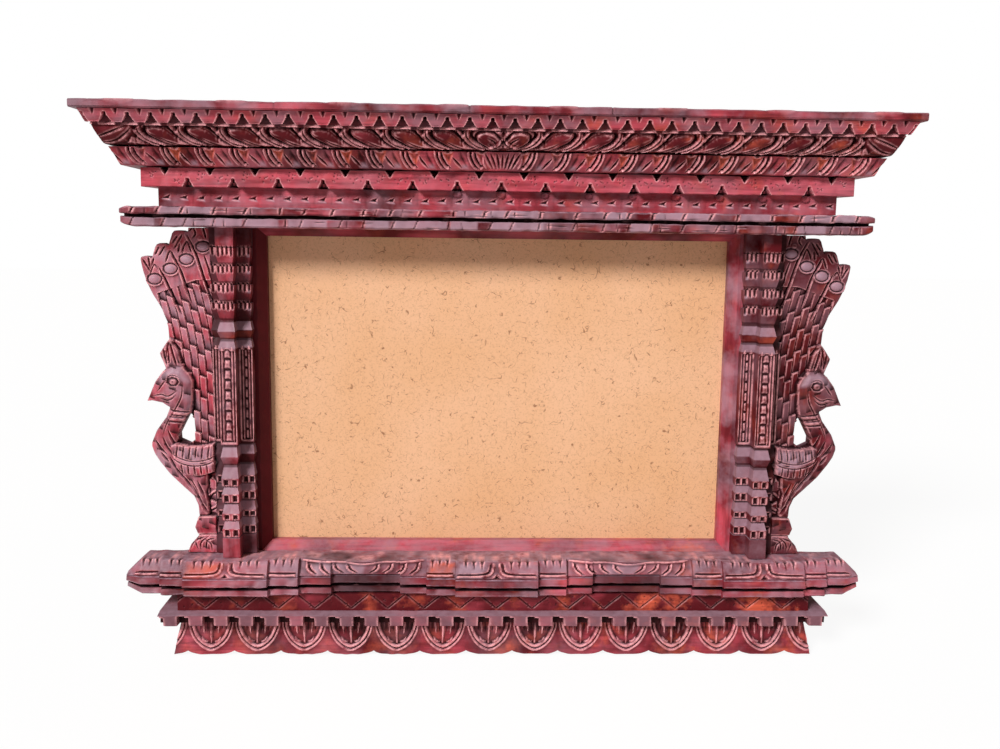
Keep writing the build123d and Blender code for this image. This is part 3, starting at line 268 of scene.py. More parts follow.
class Section:
    """A moulding seen from its end: depths and heights of its carved side, bottom up, and then its back."""

    def __init__(self, carved, back, steps):
        depths, heights, outs, corners = [carved[0][0]], [carved[0][1]], [], [0]
        steps = steps * len(carved) if len(steps) == 1 else steps
        for (d0, z0), (d1, z1), step in zip(carved, carved[1:], steps):
            length = math.hypot(d1 - d0, z1 - z0)
            count = max(1, round(length / step))
            corners.append(corners[-1] + count)
            for n in range(1, count + 1):
                depths.append(d0 + (d1 - d0) * n / count)
                heights.append(z0 + (z1 - z0) * n / count)
                outs.append(((z1 - z0) / length, (d0 - d1) / length))
        outs = np.array(outs)
        out = np.vstack([outs[:1], (outs[:-1] + outs[1:]) / 2, outs[-1:]])
        self.depth, self.z = np.array(depths), np.array(heights)
        self.out = out / np.hypot(*out.T)[:, None]
        self.along = np.concatenate([[0], np.cumsum(np.hypot(np.diff(depths), np.diff(heights)))])
        self.corners = self.along[corners]
        self.back = back

    def points(self, across, heights, setback=None):
        """Places a relief's heights on the moulding, as rows of points that go once round it."""
        depth = self.depth[:, None] + self.out[:, :1] * heights
        z = self.z[:, None] + self.out[:, 1:] * heights
        if setback is not None:
            depth = depth - setback
        x = np.broadcast_to(across, depth.shape)
        rows = [np.stack([x, -depth, z], axis=-1)]
        for back_depth, back_z in self.back:
            row = np.empty((1, len(across), 3))
            row[0, :, 0], row[0, :, 1], row[0, :, 2] = across, -back_depth, back_z
            rows.append(row)
        return np.concatenate(rows)


# From points to meshes


def mesh_of(name, points, faces, marks):
    """A mesh in metres from points in millimetres, with a value of each mark for every point."""
    mesh = bpy.data.meshes.new(name)
    mesh.from_pydata((points.reshape(-1, 3) * MM).tolist(), [], faces)
    for key, values in marks.items():
        whole = np.zeros(points.size // 3)
        whole[: values.size] = values.ravel()
        mesh.attributes.new(key, "FLOAT", "POINT").data.foreach_set("value", whole)
    return mesh


def loft(name, points, marks, capped=True):
    """A tube whose rows go round it and whose columns run along it, closed at both ends or open for a row."""
    rows, columns = points.shape[:2]
    index = np.arange(rows * columns).reshape(rows, columns)
    after = np.roll(index, -1, axis=0)
    quads = np.stack([index[:, :-1], index[:, 1:], after[:, 1:], after[:, :-1]], axis=-1)
    faces = quads.reshape(-1, 4).tolist()
    if capped:
        faces += [index[:, 0].tolist(), index[::-1, -1].tolist()]
    return mesh_of(name, points, faces, marks)


@contextmanager
def opened(mesh):
    """A mesh opened for editing, and written back with its faces turned outwards."""
    work = bmesh.new()
    work.from_mesh(mesh)
    yield work
    bmesh.ops.recalc_face_normals(work, faces=work.faces[:])
    work.to_mesh(mesh)
    work.free()


def open_edges(work):
    return [edge for edge in work.edges if edge.is_boundary]


def trimmed(mesh, planes):
    """Cuts a long moulding at some planes, each a point and an outward direction, and closes the cuts."""
    with opened(mesh) as work:
        for point, out in planes:
            parts = work.verts[:] + work.edges[:] + work.faces[:]
            bmesh.ops.bisect_plane(
                work, geom=parts, dist=1e-7, plane_co=Vector(point) * MM, plane_no=out, clear_outer=True)
            bmesh.ops.holes_fill(work, edges=open_edges(work), sides=0)
    return mesh


def joined(name, meshes):
    """One mesh from several."""
    work = bmesh.new()
    for mesh in meshes:
        work.from_mesh(mesh)
    whole = bpy.data.meshes.new(name)
    work.to_mesh(whole)
    work.free()
    for mesh in meshes:
        bpy.data.meshes.remove(mesh)
    return whole


def place(mesh, name, material, slot, *nodes):
    """Puts a finished piece into the scene, kept inside the room of the node that it stands for."""
    mesh.name = name
    room = np.array(CAD_BOX)
    if nodes:
        box = np.array([list(corner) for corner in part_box(nodes[0])])
        room = np.clip(box + [[-NODE_SLACK], [NODE_SLACK]], *room)
    spots = np.empty(len(mesh.vertices) * 3, np.float32)
    mesh.vertices.foreach_get("co", spots)
    mesh.vertices.foreach_set("co", np.clip(spots.reshape(-1, 3), *room).ravel())
    mesh.materials.clear()
    mesh.materials.append(material)
    mesh.shade_smooth()
    mesh.set_sharp_from_angle(angle=SHARP_ANGLE)
    piece = bpy.data.objects.new(name, mesh)
    bpy.context.scene.collection.objects.link(piece)
    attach(piece, "root")
    if nodes:
        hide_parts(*nodes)


# Node trees, for geometry and for shaders


class Socket:
    """An output of a node, so that maths on it reads as Python."""

    def __init__(self, graph, socket):
        self.graph, self.socket = graph, socket

    def math(self, operation, *values, clamp=False):
        settings = {"operation": operation, "use_clamp": clamp}
        return self.graph.node("ShaderNodeMath", settings, dict(enumerate(values)))

    def __add__(self, other):
        return self.math("ADD", self, other)

    __radd__ = __add__

    def __sub__(self, other):
        return self.math("SUBTRACT", self, other)

    def __rsub__(self, other):
        return self.math("SUBTRACT", other, self)

    def __mul__(self, other):
        return self.math("MULTIPLY", self, other)

    __rmul__ = __mul__

    def clamped(self):
        return self.math("ADD", self, 0.0, clamp=True)

    def ramp(self, low, high):
        """0 at one value and 1 at another, straight between them."""
        return self.graph.node("ShaderNodeMapRange", {"clamp": True}, {
            "Value": self, "From Min": low, "From Max": high})


class Graph:
    """A node tree under construction."""

    def __init__(self, tree):
        self.tree = tree
        tree.nodes.clear()

    def node(self, kind, settings=None, inputs=None, output=0):
        """Adds a node, sets it and then its sockets, and returns one of its outputs."""
        node = self.tree.nodes.new(kind)
        for key, value in (settings or {}).items():
            setattr(node, key, value)
        for key, value in (inputs or {}).items():
            target = node.inputs[key]
            if isinstance(value, (list, tuple)) and any(isinstance(item, Socket) for item in value):
                for item in value:
                    self.tree.links.new(target, item.socket)
            elif isinstance(value, Socket):
                self.tree.links.new(target, value.socket)
            else:
                target.default_value = value
        if not node.outputs:
            return None
        return Socket(self, node.outputs[output])

    def noise(self, position, scale, detail=2.0, roughness=0.5, output=0):
        inputs = {"Vector": position, "Scale": scale, "Detail": detail, "Roughness": roughness}
        return self.node("ShaderNodeTexNoise", None, inputs, output)

    def position(self):
        """The Object coordinates, in the window's own frame."""
        return self.node("ShaderNodeTexCoord", None, None, "Object")

    def moved(self, position, shift):
        """A position with something added, so that a pattern falls elsewhere."""
        return self.node("ShaderNodeVectorMath", {"operation": "ADD"}, {0: position, 1: shift})

    def stretched(self, position, scale):
        """A position with each axis scaled by itself."""
        return self.node("ShaderNodeVectorMath", {"operation": "MULTIPLY"}, {0: position, 1: scale})

    def mix(self, factor, first, second):
        """A colour between two others, each a socket or a plain colour."""
        first, second = (value if isinstance(value, Socket) else (*value, 1) for value in (first, second))
        return self.node("ShaderNodeMix", {"data_type": "RGBA"}, {0: factor, 6: first, 7: second}, 2)


ROW_INPUTS = {
    "Tiles": "NodeSocketCollection", "Middle": "NodeSocketObject", "End": "NodeSocketObject",
    "Count": "NodeSocketInt", "Pitch": "NodeSocketFloat", "Start": "NodeSocketFloat",
    "Mirrored": "NodeSocketBool", "Wobble": "NodeSocketFloat", "Seed": "NodeSocketInt",
    "Material": "NodeSocketMaterial",
}


def row_tree():
    """The node tree that lays carved tiles in a row, mirrors it if asked, and makes the copies differ."""
    tree = bpy.data.node_groups.new("row_of_tiles", "GeometryNodeTree")
    graph = Graph(tree)
    for name, kind in ROW_INPUTS.items():
        tree.interface.new_socket(name, in_out="INPUT", socket_type=kind)
    tree.interface.new_socket("Geometry", in_out="OUTPUT", socket_type="NodeSocketGeometry")
    entry = tree.nodes.new("NodeGroupInput")
    given = {name: Socket(graph, entry.outputs[name]) for name in ROW_INPUTS}

    def along_x(distance):
        return graph.node("ShaderNodeCombineXYZ", None, {"X": distance})

    tiles = graph.node("GeometryNodeCollectionInfo", None,
                       {"Collection": given["Tiles"], "Separate Children": True, "Reset Children": True})
    spots = graph.node("GeometryNodeMeshLine", None, {
        "Count": given["Count"], "Start Location": along_x(given["Start"]),
        "Offset": along_x(given["Pitch"])})
    pick = graph.node("FunctionNodeRandomValue", {"data_type": "INT"}, {4: 0, 5: 2, "Seed": given["Seed"]}, 2)
    row = graph.node("GeometryNodeInstanceOnPoints", None, {
        "Points": spots, "Instance": tiles, "Pick Instance": True, "Instance Index": pick})
    end_start = given["Start"] + given["Pitch"] * given["Count"]
    end_spot = graph.node("GeometryNodeMeshLine", None, {"Count": 1, "Start Location": along_x(end_start)})
    end_piece = graph.node("GeometryNodeObjectInfo", None, {"Object": given["End"]}, "Geometry")
    end = graph.node("GeometryNodeInstanceOnPoints", None, {"Points": end_spot, "Instance": end_piece})
    half = graph.node("GeometryNodeRealizeInstances", None,
                      {0: graph.node("GeometryNodeJoinGeometry", None, {0: [row, end]})})
    turned = graph.node("GeometryNodeTransform", None, {"Geometry": half, "Scale": (-1.0, 1.0, 1.0)})
    other = graph.node("GeometryNodeFlipFaces", None, {"Mesh": turned})
    middle = graph.node("GeometryNodeObjectInfo", None, {"Object": given["Middle"]}, "Geometry")
    both = graph.node("GeometryNodeJoinGeometry", None, {0: [half, other, middle]})
    whole = graph.node("GeometryNodeSwitch", {"input_type": "GEOMETRY"},
                       {"Switch": given["Mirrored"], "False": half, "True": both})
    merged = graph.node("GeometryNodeMergeByDistance", None, {"Geometry": whole, "Distance": 0.02 * MM})
    position = graph.node("GeometryNodeInputPosition")
    shift = graph.noise(position, 45.0, output=1)
    centred = graph.node("ShaderNodeVectorMath", {"operation": "SUBTRACT"}, {0: shift, 1: (0.5, 0.5, 0.5)})
    scaled = graph.node("ShaderNodeVectorMath", {"operation": "SCALE"}, {
        0: centred, "Scale": given["Wobble"]})
    moved = graph.node("GeometryNodeSetPosition", None, {"Geometry": merged, "Offset": scaled})
    real = graph.node("GeometryNodeRealizeInstances", None, {0: moved})
    painted = graph.node("GeometryNodeSetMaterial", None, {"Geometry": real, "Material": given["Material"]})
    graph.node("NodeGroupOutput", None, {"Geometry": painted})
    return tree


def lay_row(tiles, pitch, count, seed, paint, start=None, wobble=0.9, mirrored=False, middle=None, end=None):
    """Runs the tree on some tiles and returns the row as a plain mesh, centred where no start is given."""
    tree = bpy.data.node_groups.get("row_of_tiles") or row_tree()
    everything = bpy.context.scene.collection
    kinds = bpy.data.collections.new("tiles")
    everything.children.link(kinds)
    helpers = []

    def helper(name, mesh, collection):
        helpers.append(bpy.data.objects.new(name, mesh))
        collection.objects.link(helpers[-1])
        return helpers[-1]

    for n, mesh in enumerate(tiles):
        helper("tile_%d" % n, mesh, kinds)
    start = -pitch * count / 2 if start is None else start
    inputs = {"Tiles": kinds, "Count": count, "Pitch": pitch * MM, "Start": start * MM, "Wobble": wobble * MM,
              "Seed": seed, "Mirrored": mirrored, "Material": paint}
    for key, mesh in (("Middle", middle), ("End", end)):
        if mesh:
            inputs[key] = helper(key, mesh, everything)
    carrier = helper("row", bpy.data.meshes.new("row"), everything)
    modifier = carrier.modifiers.new("row", "NODES")
    modifier.node_group = tree
    sockets = {item.name: item.identifier for item in tree.interface.items_tree if item.in_out == "INPUT"}
    for name, value in inputs.items():
        modifier[sockets[name]] = value
    state = bpy.context.evaluated_depsgraph_get()
    row = bpy.data.meshes.new_from_object(carrier.evaluated_get(state))
    carrier.modifiers.clear()
    for made in helpers:
        data = made.data
        bpy.data.objects.remove(made)
        bpy.data.meshes.remove(data)
    bpy.data.collections.remove(kinds)
    return row


# What the carved rows share


def spread(width, step, walls=()):
    """Positions across a tile: evenly spaced, with some more where walls stand."""
    places = np.linspace(0, width, max(2, round(width / step)) + 1)
    if len(walls):
        gap = np.abs(places[:, None] - np.asarray(walls, float)).min(axis=1)
        keep = gap > step * 0.3
        keep[[0, -1]] = True
        places = np.union1d(places[keep], walls)
    return places


def notch(middle, edge, point, half_width, beyond=2.0):
    """A triangle that opens past one edge of a moulding and points into it."""
    mouth = edge + math.copysign(beyond, edge - point)
    wide = half_width * (mouth - point) / (edge - point)
    return [(middle - wide, mouth), (middle + wide, mouth), (middle, point)]


class Tiles:
    """The carved tiles of one moulding, which all meet in the same edge."""

    def __init__(self, section, name, unevenness=0.25):
        self.section, self.name, self.unevenness = section, name, unevenness
        self.edge = None

    def mesh(self, across, carve, seed, shared_ends=(True, True), rise=None):
        """Carves one tile; its ends take the shape of the first tile's edge."""
        relief = Relief(across, self.section.along)
        carve(relief, np.random.default_rng(seed))
        heights = relief.heights() + self.unevenness * uneven(relief.u, relief.v, 4.0, seed)
        if self.edge is None:
            self.edge = (heights[:, 0] + heights[:, -1]) / 2
        for shared, distance in zip(shared_ends, (across - across[0], across[-1] - across)):
            if shared:
                share = np.clip(distance / 1.2, 0, 1)
                heights = self.edge[:, None] * (1 - share) + heights * share
        marks = relief.marks(heights - relief.heights())
        points = self.section.points(across, heights)
        if rise is not None:
            climb = np.append(1 - self.section.along / self.section.along[-1], [0] * len(self.section.back))
            climb[-1] = 1
            points[:, :, 2] += climb[:, None] * rise(across)
        return loft(self.name, points, marks, capped=False)

    def three(self, pitch, step, carve, seed, walls=(), rise=None):
        """Three tiles that differ a little, for the row to pick from."""
        across = spread(pitch, step, walls)
        return [self.mesh(across, carve, seed + n, rise=rise) for n in range(3)]


def sided(points, sign, middle=0.0):
    """Points to the right of a middle, or to its left for a sign of -1."""
    return [(middle + sign * u, v) for u, v in points]


def moved(points, shift, pitch=None, loose=None):
    """Points moved along a row, and turned round where the row's other half runs the other way."""
    points = np.array(points, float)
    if loose is not None:
        points += loose.normal(0, 0.15, points.shape)
    if pitch is not None:
        points[:, 0] = pitch - points[:, 0]
    points[:, 0] += shift
    return points


def end_planes(low, high):
    """Sloping cuts at both ends of a moulding, through a low and a high point on its end."""
    (x0, z0), (x1, z1) = low, high
    out = Vector((z1 - z0, 0, x0 - x1)).normalized()
    return [((x0, 0, z0), out), ((-x0, 0, z0), Vector((-out.x, 0, out.z)))]


def place_row(row, low, high, name, paint, node):
    """Cuts both ends of a row and puts it in the place of its node."""
    place(trimmed(row, end_planes(low, high)), name, paint, "painted_wood", node)


# Cornice


def build_cap(settings):
    (low_x, low_y, low_z), (high_x, _, high_z) = limits("cornice_cap")
    depth, crown, lap = -low_y, high_z - 0.25, 62
    section = Section(
        [(depth - 1.0, low_z), (depth, low_z + 0.8), (depth, crown - 0.8), (depth - 1.0, crown),
         (depth - 16, crown), (0.6, crown)],
        [(0, crown - 0.6), (0, low_z)], [1, 0.8, 1, 5, 28])
    across = np.concatenate([np.arange(low_x, lap - 0.5, 1.1), [lap - 0.1, lap + 0.1],
                             np.arange(lap + 1, high_x, 1.1), [high_x]])
    relief = Relief(across, section.along)
    front = section.corners[3]
    for x in np.arange(-218, 240, 63.0):
        relief.dome(x, front - 0.6, 9, 2.6, 0.6)
    for x in (-236, -131, -20, 62, 168):
        relief.groove([(x, 0), (x + 0.7, front + 20)], 1.0, 0.5)
    heights = relief.heights() + 0.25 * uneven(relief.u, relief.v, 7.0, 5) - 0.12
    step = np.where(across > lap, 0.8, 0.0)
    knob = np.clip((np.abs(across) - (high_x - 4)) / 4, 0, 1) ** 2
    points = section.points(across, heights, step + 0.3 * knob)
    points[-3:, :, 1] = np.minimum(points[-3:, :, 1], 0)
    points[-2:, :, 1] = 0
    points[:, :, 2] = np.clip(points[:, :, 2], low_z, high_z)
    mesh = loft("cap", points, relief.marks(heights - relief.heights()))
    place(mesh, "cap_strip", settings.paint("cap", 0.6, 0.3, 0.5, 0.45), "painted_wood", "cornice_cap")


def tooth_tiles(pitch):
    low, high = TOOTH_FOOT, CAP_FOOT - 0.1
    section = Section([(60.8, low), (60.8, low + 1), (63.1, low + 1.2), (66.4, high - 0.1)],
                      [(0, high), (0, low)], [0.9, 0.7, 0.45])
    foot, head = section.corners[2], section.corners[3]

    def carve(relief, chance):
        lean = chance.normal(0, 0.25)
        for edge in (0, pitch):
            relief.pit(notch(edge, foot, foot + 5.9, 3.3, 2.4), 4.5, 0.35)
        relief.pit(notch(pitch / 2 + lean, head, head - 4.4, 1.8), 1.6, 1.1)
        relief.pit([(3.4, foot), (pitch - 3.4, foot), (pitch - 4.2, foot + 0.7), (4.2, foot + 0.7)], 0.4, 0.4)
        relief.tints["shadow"][section.along < foot - 0.4] = 0.8

    return Tiles(section, "tooth").three(pitch, 0.42, carve, 1)


def build_teeth(settings):
    pitch, mitre = settings.tooth_pitch / MM, 176.5
    paint = settings.paint("tooth", 0.1, 0.6, 0.4, 0.95)
    front = lay_row(tooth_tiles(pitch), pitch, 39, 4, paint)
    meshes = [trimmed(front, [((mitre, 0, 0), (1, 1, 0)), ((-mitre, 0, 0), (-1, 1, 0))])]
    for side, start in ((-1, -0.6), (1, -5.4)):
        turned = lay_row(tooth_tiles(pitch), pitch, 6, 7, paint, start * pitch)
        corner = Matrix.Translation((side * mitre * MM, 0, 0))
        turned.transform(corner @ Matrix.Rotation(side * math.pi / 2, 4, "Z"))
        meshes.append(trimmed(turned, [((side * mitre, 0, 0), (-side, -1, 0)), ((0, 0, 0), (0, 1, 0))]))
    place(joined("teeth", meshes), "tooth_row", paint, "painted_wood", "tooth_moulding")


LARGE_RIM = [(1.2, 13.6), (0.8, 11.3), (1.5, 8.4), (4, 5.0), (8, 2.2), (13.5, 0.6)]
LARGE_RIM_GROOVE = [(2.3, 9.6), (3.2, 7.6), (5.6, 4.7), (9.8, 2.1), (15.5, 0.5)]
LARGE_HOOD = [(3.2, 14.2), (2.9, 11.2), (3.9, 8.2), (6.8, 4.9), (11.4, 2.3), (17, 0.6)]
LARGE_BODY = [
    (6.7, 9.2), (6.7, 10.9), (7.6, 11.7), (10.3, 12.1), (14.2, 12.0), (17.2, 11.2), (19.2, 9.6),
    (21.4, 6.8), (25.2, 3.8), (30.5, 0.9), (22, 0.3), (16, 2.1), (10.4, 5.3), (7.5, 7.6)]
LARGE_OUTLINE = [
    (20, 0.3), (13.4, 2.4), (8.4, 5.6), (5.5, 8.6), (5.2, 11.2), (6.6, 12.8), (10.3, 13.4), (14.8, 13.3),
    (18.6, 12.2), (21.0, 9.8), (23.7, 6.4), (27.2, 3.2), (32, 1.2)]
LARGE_OUTER = [(20.2, 14.0), (23.0, 10.9), (25.2, 7.4), (28.6, 4.2), (33, 2.2)]
LARGE_VEIN = [(14.6, 6.4), (17, 4.6), (20.5, 2.6), (25.5, 0.8)]


def large_leaf_meshes(pitch):
    """The leaf that repeats, the flower in the middle and the leaf at the end."""
    low, high = LARGE_LEAF_FOOT, TOOTH_FOOT
    section = Section([(51.7, low), (52.1, low + 0.4), (60.6, high - 0.3), (60.6, high)],
                      [(0, high), (0, low)], [0.6, 0.5, 0.4])
    top, sunk = section.along[-1], 1.6

    def body(relief, points):
        relief.level(points, 0.7, 0.6, 4.0, 1.9)

    def bite(relief, u, wall=0.5):
        relief.pit(notch(u, top, top - 4.4, 3.3), 3.2, wall)

    def leaf(relief, shift, chance, turned=True, rims=True):
        turn = pitch if turned else None

        def at(points):
            return moved(points, shift, turn, chance)

        if rims:
            relief.bead(at(LARGE_RIM), 1.8, 1.9, 0.08)
            relief.groove(at(LARGE_RIM_GROOVE), 1.4, 1.4, taper=0.08)
            relief.bead(at(LARGE_HOOD), 1.6, 1.9, 0.06)
        relief.groove(at(LARGE_OUTLINE), 2.3, 2.4, taper=0.06)
        relief.bead(at(LARGE_OUTER), 1.7, 1.9, 0.12)
        relief.groove(at(LARGE_VEIN), 1.7, 1.5, taper=0.45)

    def side(relief, chance):
        relief.base -= sunk
        for shift in (-pitch, 0.0, pitch):
            body(relief, moved(LARGE_BODY, shift, pitch))
        for shift in (-pitch, 0.0, pitch):
            leaf(relief, shift, chance if shift == 0 else None)
        for edge in (0, pitch):
            bite(relief, edge)

    def centre(relief, chance):
        relief.base -= sunk
        for sign in (-1, 1):
            heart = [(0, 0.8), (10, 1.6), (15.8, 6), (16, 11), (9, 13.8), (0, 14.2), (-0.6, 7)]
            body(relief, sided(heart, sign))
            body(relief, sided(moved(LARGE_BODY, pitch, pitch), sign))
        for turned, shifts in ((True, (0.0, pitch)), (False, (-pitch, -2 * pitch))):
            for shift in shifts:
                leaf(relief, shift, None, turned, rims=False)
        for sign in (-1, 1):
            for line in (LARGE_RIM, LARGE_HOOD):
                relief.bead(sided(moved(line, 0, pitch), sign), 1.5, 1.6, 0.08)
            relief.groove(sided(moved(LARGE_RIM_GROOVE, 0, pitch), sign), 1.4, 1.4, taper=0.1)
            relief.groove(sided([(3, 2.5), (5, 6.5), (9.5, 9.8)], sign), 1.7, 1.3, taper=0.45)
            outline = [(1.5, 1), (11, 2.2), (15.5, 6.5), (15.2, 11), (9, 13.6), (0, 14)]
            relief.groove(sided(outline, sign), 2.2, 1.8, taper=0.1)
            bite(relief, sign * pitch, 0.7)
        relief.groove([(0, 3), (0, 10)], 1.8, 1.4, taper=0.45)

    def last(relief, chance):
        relief.base -= sunk
        body(relief, moved(LARGE_BODY, 0, pitch))
        relief.level([(1.5, 14), (0.5, 9), (5, 2.5), (14, 0.3), (32, 0.3), (32, 14.2)], 0.2, 0.7, 3.6, 1.7)
        bite(relief, 0)
        relief.groove([(1.5, 12.5), (5, 9), (12, 4), (20, 2.4)], 1.9, 1.5, taper=0.3)
        relief.groove([(4.5, 13.4), (12, 10.5), (23, 6)], 1.7, 1.3, taper=0.3)

    tiles = Tiles(section, "large_leaf")
    sides = tiles.three(pitch, 0.45, side, 11)
    middle = tiles.mesh(spread(2 * pitch, 0.45) - pitch, centre, 14)
    end = tiles.mesh(spread(31, 0.6), last, 15, (True, False))
    return sides, middle, end


def build_large_leaves(settings):
    pitch = settings.large_leaf_pitch / MM
    paint = settings.paint("large_leaf", 1.2, 0.5, 0.0, 0.6)
    sides, middle, end = large_leaf_meshes(pitch)
    row = lay_row(sides, pitch, 8, 5, paint, pitch, mirrored=True, middle=middle, end=end)
    low, high = (232.5, LARGE_LEAF_FOOT), (237.5, TOOTH_FOOT)
    place_row(row, low, high, "large_leaf_row", paint, "large_leaf_moulding")


SMALL_STROKE = [(3.2, 9.5), (4.8, 6), (8.4, 1)]
SMALL_LENS = [(7.5, 12.8), (8.6, 8), (11.8, 2)]
SMALL_BEADS = [
    [(12.2, 13.4), (12.6, 9), (15, 3.5), (17.5, 0.8)], [(14.8, 12.8), (15.4, 8.8), (17.8, 4), (20.8, 1)]]


def build_small_leaves(settings):
    pitch, half_middle, sunk = settings.small_leaf_pitch / MM, 12.5, 0.8
    paint = settings.paint("small_leaf", 0.5, 0.6, 0.2)
    low, high = SMALL_LEAF_FOOT, LARGE_LEAF_FOOT
    section = Section([(42.7, low), (43.1, low + 0.4), (50.6, high - 0.3), (50.6, high)],
                      [(0, high), (0, low)], [0.6, 0.5, 0.4])
    top = section.along[-1]

    def bite(relief, u):
        relief.pit(notch(u, top, top - 2.6, 2.8), 2.6, 0.6)

    def leaf(relief, shift, chance):
        def at(points):
            return moved(points, shift, pitch, chance)

        relief.pit(at([(-3.4, 11.6), (3.6, 11.6), (0.8, 4.2)]), 1.0, 1.2)
        relief.tint("ember", at([(-3.4, 12.5), (3.6, 12.5), (1.2, 3.4)]), 1.0)
        relief.groove(at(SMALL_STROKE), 1.9, 1.8, taper=0.4)
        relief.groove(at(SMALL_LENS), 4.4, 1.1, taper=0.5)
        relief.tint("pale", at([(8, 1), (12, 1), (11.5, 3.5), (9, 4)]), 2.5)
        for line in SMALL_BEADS:
            relief.bead(at(line), 1.5, 1.5, 0.12)
            relief.groove(at([(u + 1.4, v) for u, v in line]), 1.5, 1.9, taper=0.15)

    def side(relief, chance):
        relief.base -= sunk
        for shift in (-pitch, 0.0, pitch):
            leaf(relief, shift, chance if shift == 0 else None)
        for edge in (0, pitch):
            bite(relief, edge)

    def centre(relief, chance):
        relief.base -= sunk
        relief.groove([(0, 1.5), (0, 11.5)], 1.8, 1.5, taper=0.4)
        for sign in (-1, 1):
            for foot, head in ((1.6, 3.6), (3.4, 7.2), (5.5, 10.6)):
                line = [(foot, 1), ((foot + head) / 2, 6.5), (head, 12)]
                relief.groove(sided(line, sign), 2.0, 1.9, taper=0.35)
            relief.bead(sided([(9, 1), (11, 5), (12.2, 10)], sign), 1.4, 1.0)
            bite(relief, sign * half_middle)

    def last(relief, chance):
        relief.base -= sunk
        bite(relief, 0)
        leaf(relief, 0.0, None)

    tiles = Tiles(section, "small_leaf")
    sides = tiles.three(pitch, 0.45, side, 21)
    middle = tiles.mesh(spread(2 * half_middle, 0.45) - half_middle, centre, 24)
    end = tiles.mesh(spread(26, 0.5), last, 25, (True, False))
    row = lay_row(sides, pitch, 10, 6, paint, half_middle, mirrored=True, middle=middle, end=end)
    low, high = (227, SMALL_LEAF_FOOT), (231.5, LARGE_LEAF_FOOT)
    place_row(row, low, high, "small_leaf_row", paint, "small_leaf_moulding")


def build_fascia(settings):
    pitch = settings.notch_pitch / MM
    paint = settings.paint("fascia", -0.1, 0.4, 0.2)
    low, high = FASCIA_FOOT, SMALL_LEAF_FOOT
    section = Section([(37.6, low), (38, low + 0.4), (38, high - 0.4), (37.6, high)],
                      [(0, high), (0, low)], [0.5, 0.55, 0.5])
    top = section.along[-1]

    def carve(relief, chance, edges, lean):
        for edge in edges:
            relief.pit(notch(edge, 0, 5.4, 3.2), 4.0, 0.3)
        relief.pit(notch(pitch / 2 + lean, top, top - 4.6, 2.8), 4.0, 0.3)
        for middle in (6.5, 20):
            height = chance.uniform(3.5, 7.5)
            for _ in range(7):
                relief.punch(middle + chance.normal(0, 2.2), height + chance.normal(0, 1.4), 0.6, 0.6)

    def side(relief, chance):
        carve(relief, chance, (0, pitch), chance.normal(0, 0.4))

    def last(relief, chance):
        carve(relief, chance, (0,), 0)

    tiles = Tiles(section, "fascia")
    sides = tiles.three(pitch, 0.42, side, 31)
    end = tiles.mesh(spread(30, 0.42), last, 34, (True, False))
    row = lay_row(sides, pitch, 7, 8, paint, 0.0, 0.7, mirrored=True, end=end)
    place_row(row, (217, FASCIA_FOOT), (217, SMALL_LEAF_FOOT), "fascia", paint, "notched_fascia")


def build_frieze(settings):
    pitch, spacing = settings.chip_pitch / MM, settings.notch_pitch / MM
    paint = settings.paint("frieze", 0.3, 0.4, 0.4, 0.8)
    section = Section([(31, FRIEZE_FOOT), (31, FASCIA_FOOT)],
                      [(FRAME_FRONT, FASCIA_FOOT), (FRAME_FRONT, FRIEZE_FOOT)], [0.5])

    def carve(relief, chance):
        tilt, middle = chance.normal(0.3, 0.2), 5.2 + chance.normal(0, 0.25)
        left, right = pitch / 2 - 3.3, pitch / 2 + 3.1
        relief.pit([(left, middle - tilt), (right, middle + 1.9 + tilt), (right - 1.0, middle + 0.1),
                    (right - 0.2, middle - 1.5 + tilt)], 1.7, 1.0)
        # painted light: the lower facet of the chip, which faces up, is painted paler
        relief.tint("pale", [(left + 0.4, middle - tilt - 0.3), (right - 1.2, middle - 0.1),
                             (right + 0.1, middle - 1.9), (pitch / 2 - 0.5, middle - 1.6)], 0.4)

    meshes = Tiles(section, "frieze").three(pitch, 0.45, carve, 41)
    row = lay_row(meshes, pitch, 42, 9, paint, wobble=0.6)
    place_row(row, (209, FRIEZE_FOOT), (209, FASCIA_FOOT), "frieze", paint, "chip_frieze")
    bosses = [boss_mesh(radius) for radius in (2.0, 2.2, 2.4)]
    place(lay_row(bosses, spacing, 9, 14, paint, -spacing, 0.8), "frieze_bosses", paint, "painted_wood")


def boss_mesh(radius):
    """A small rounded boss under the fascia, whose back sits in the frieze."""
    mesh = bpy.data.meshes.new("boss")
    with opened(mesh) as work:
        bmesh.ops.create_uvsphere(work, u_segments=14, v_segments=8, radius=radius * MM)
        bmesh.ops.scale(work, vec=(1.25, 0.9, 1.0), verts=work.verts)
        bmesh.ops.translate(work, vec=(0, -31.2 * MM, (FASCIA_FOOT - 2) * MM), verts=work.verts)
    return mesh


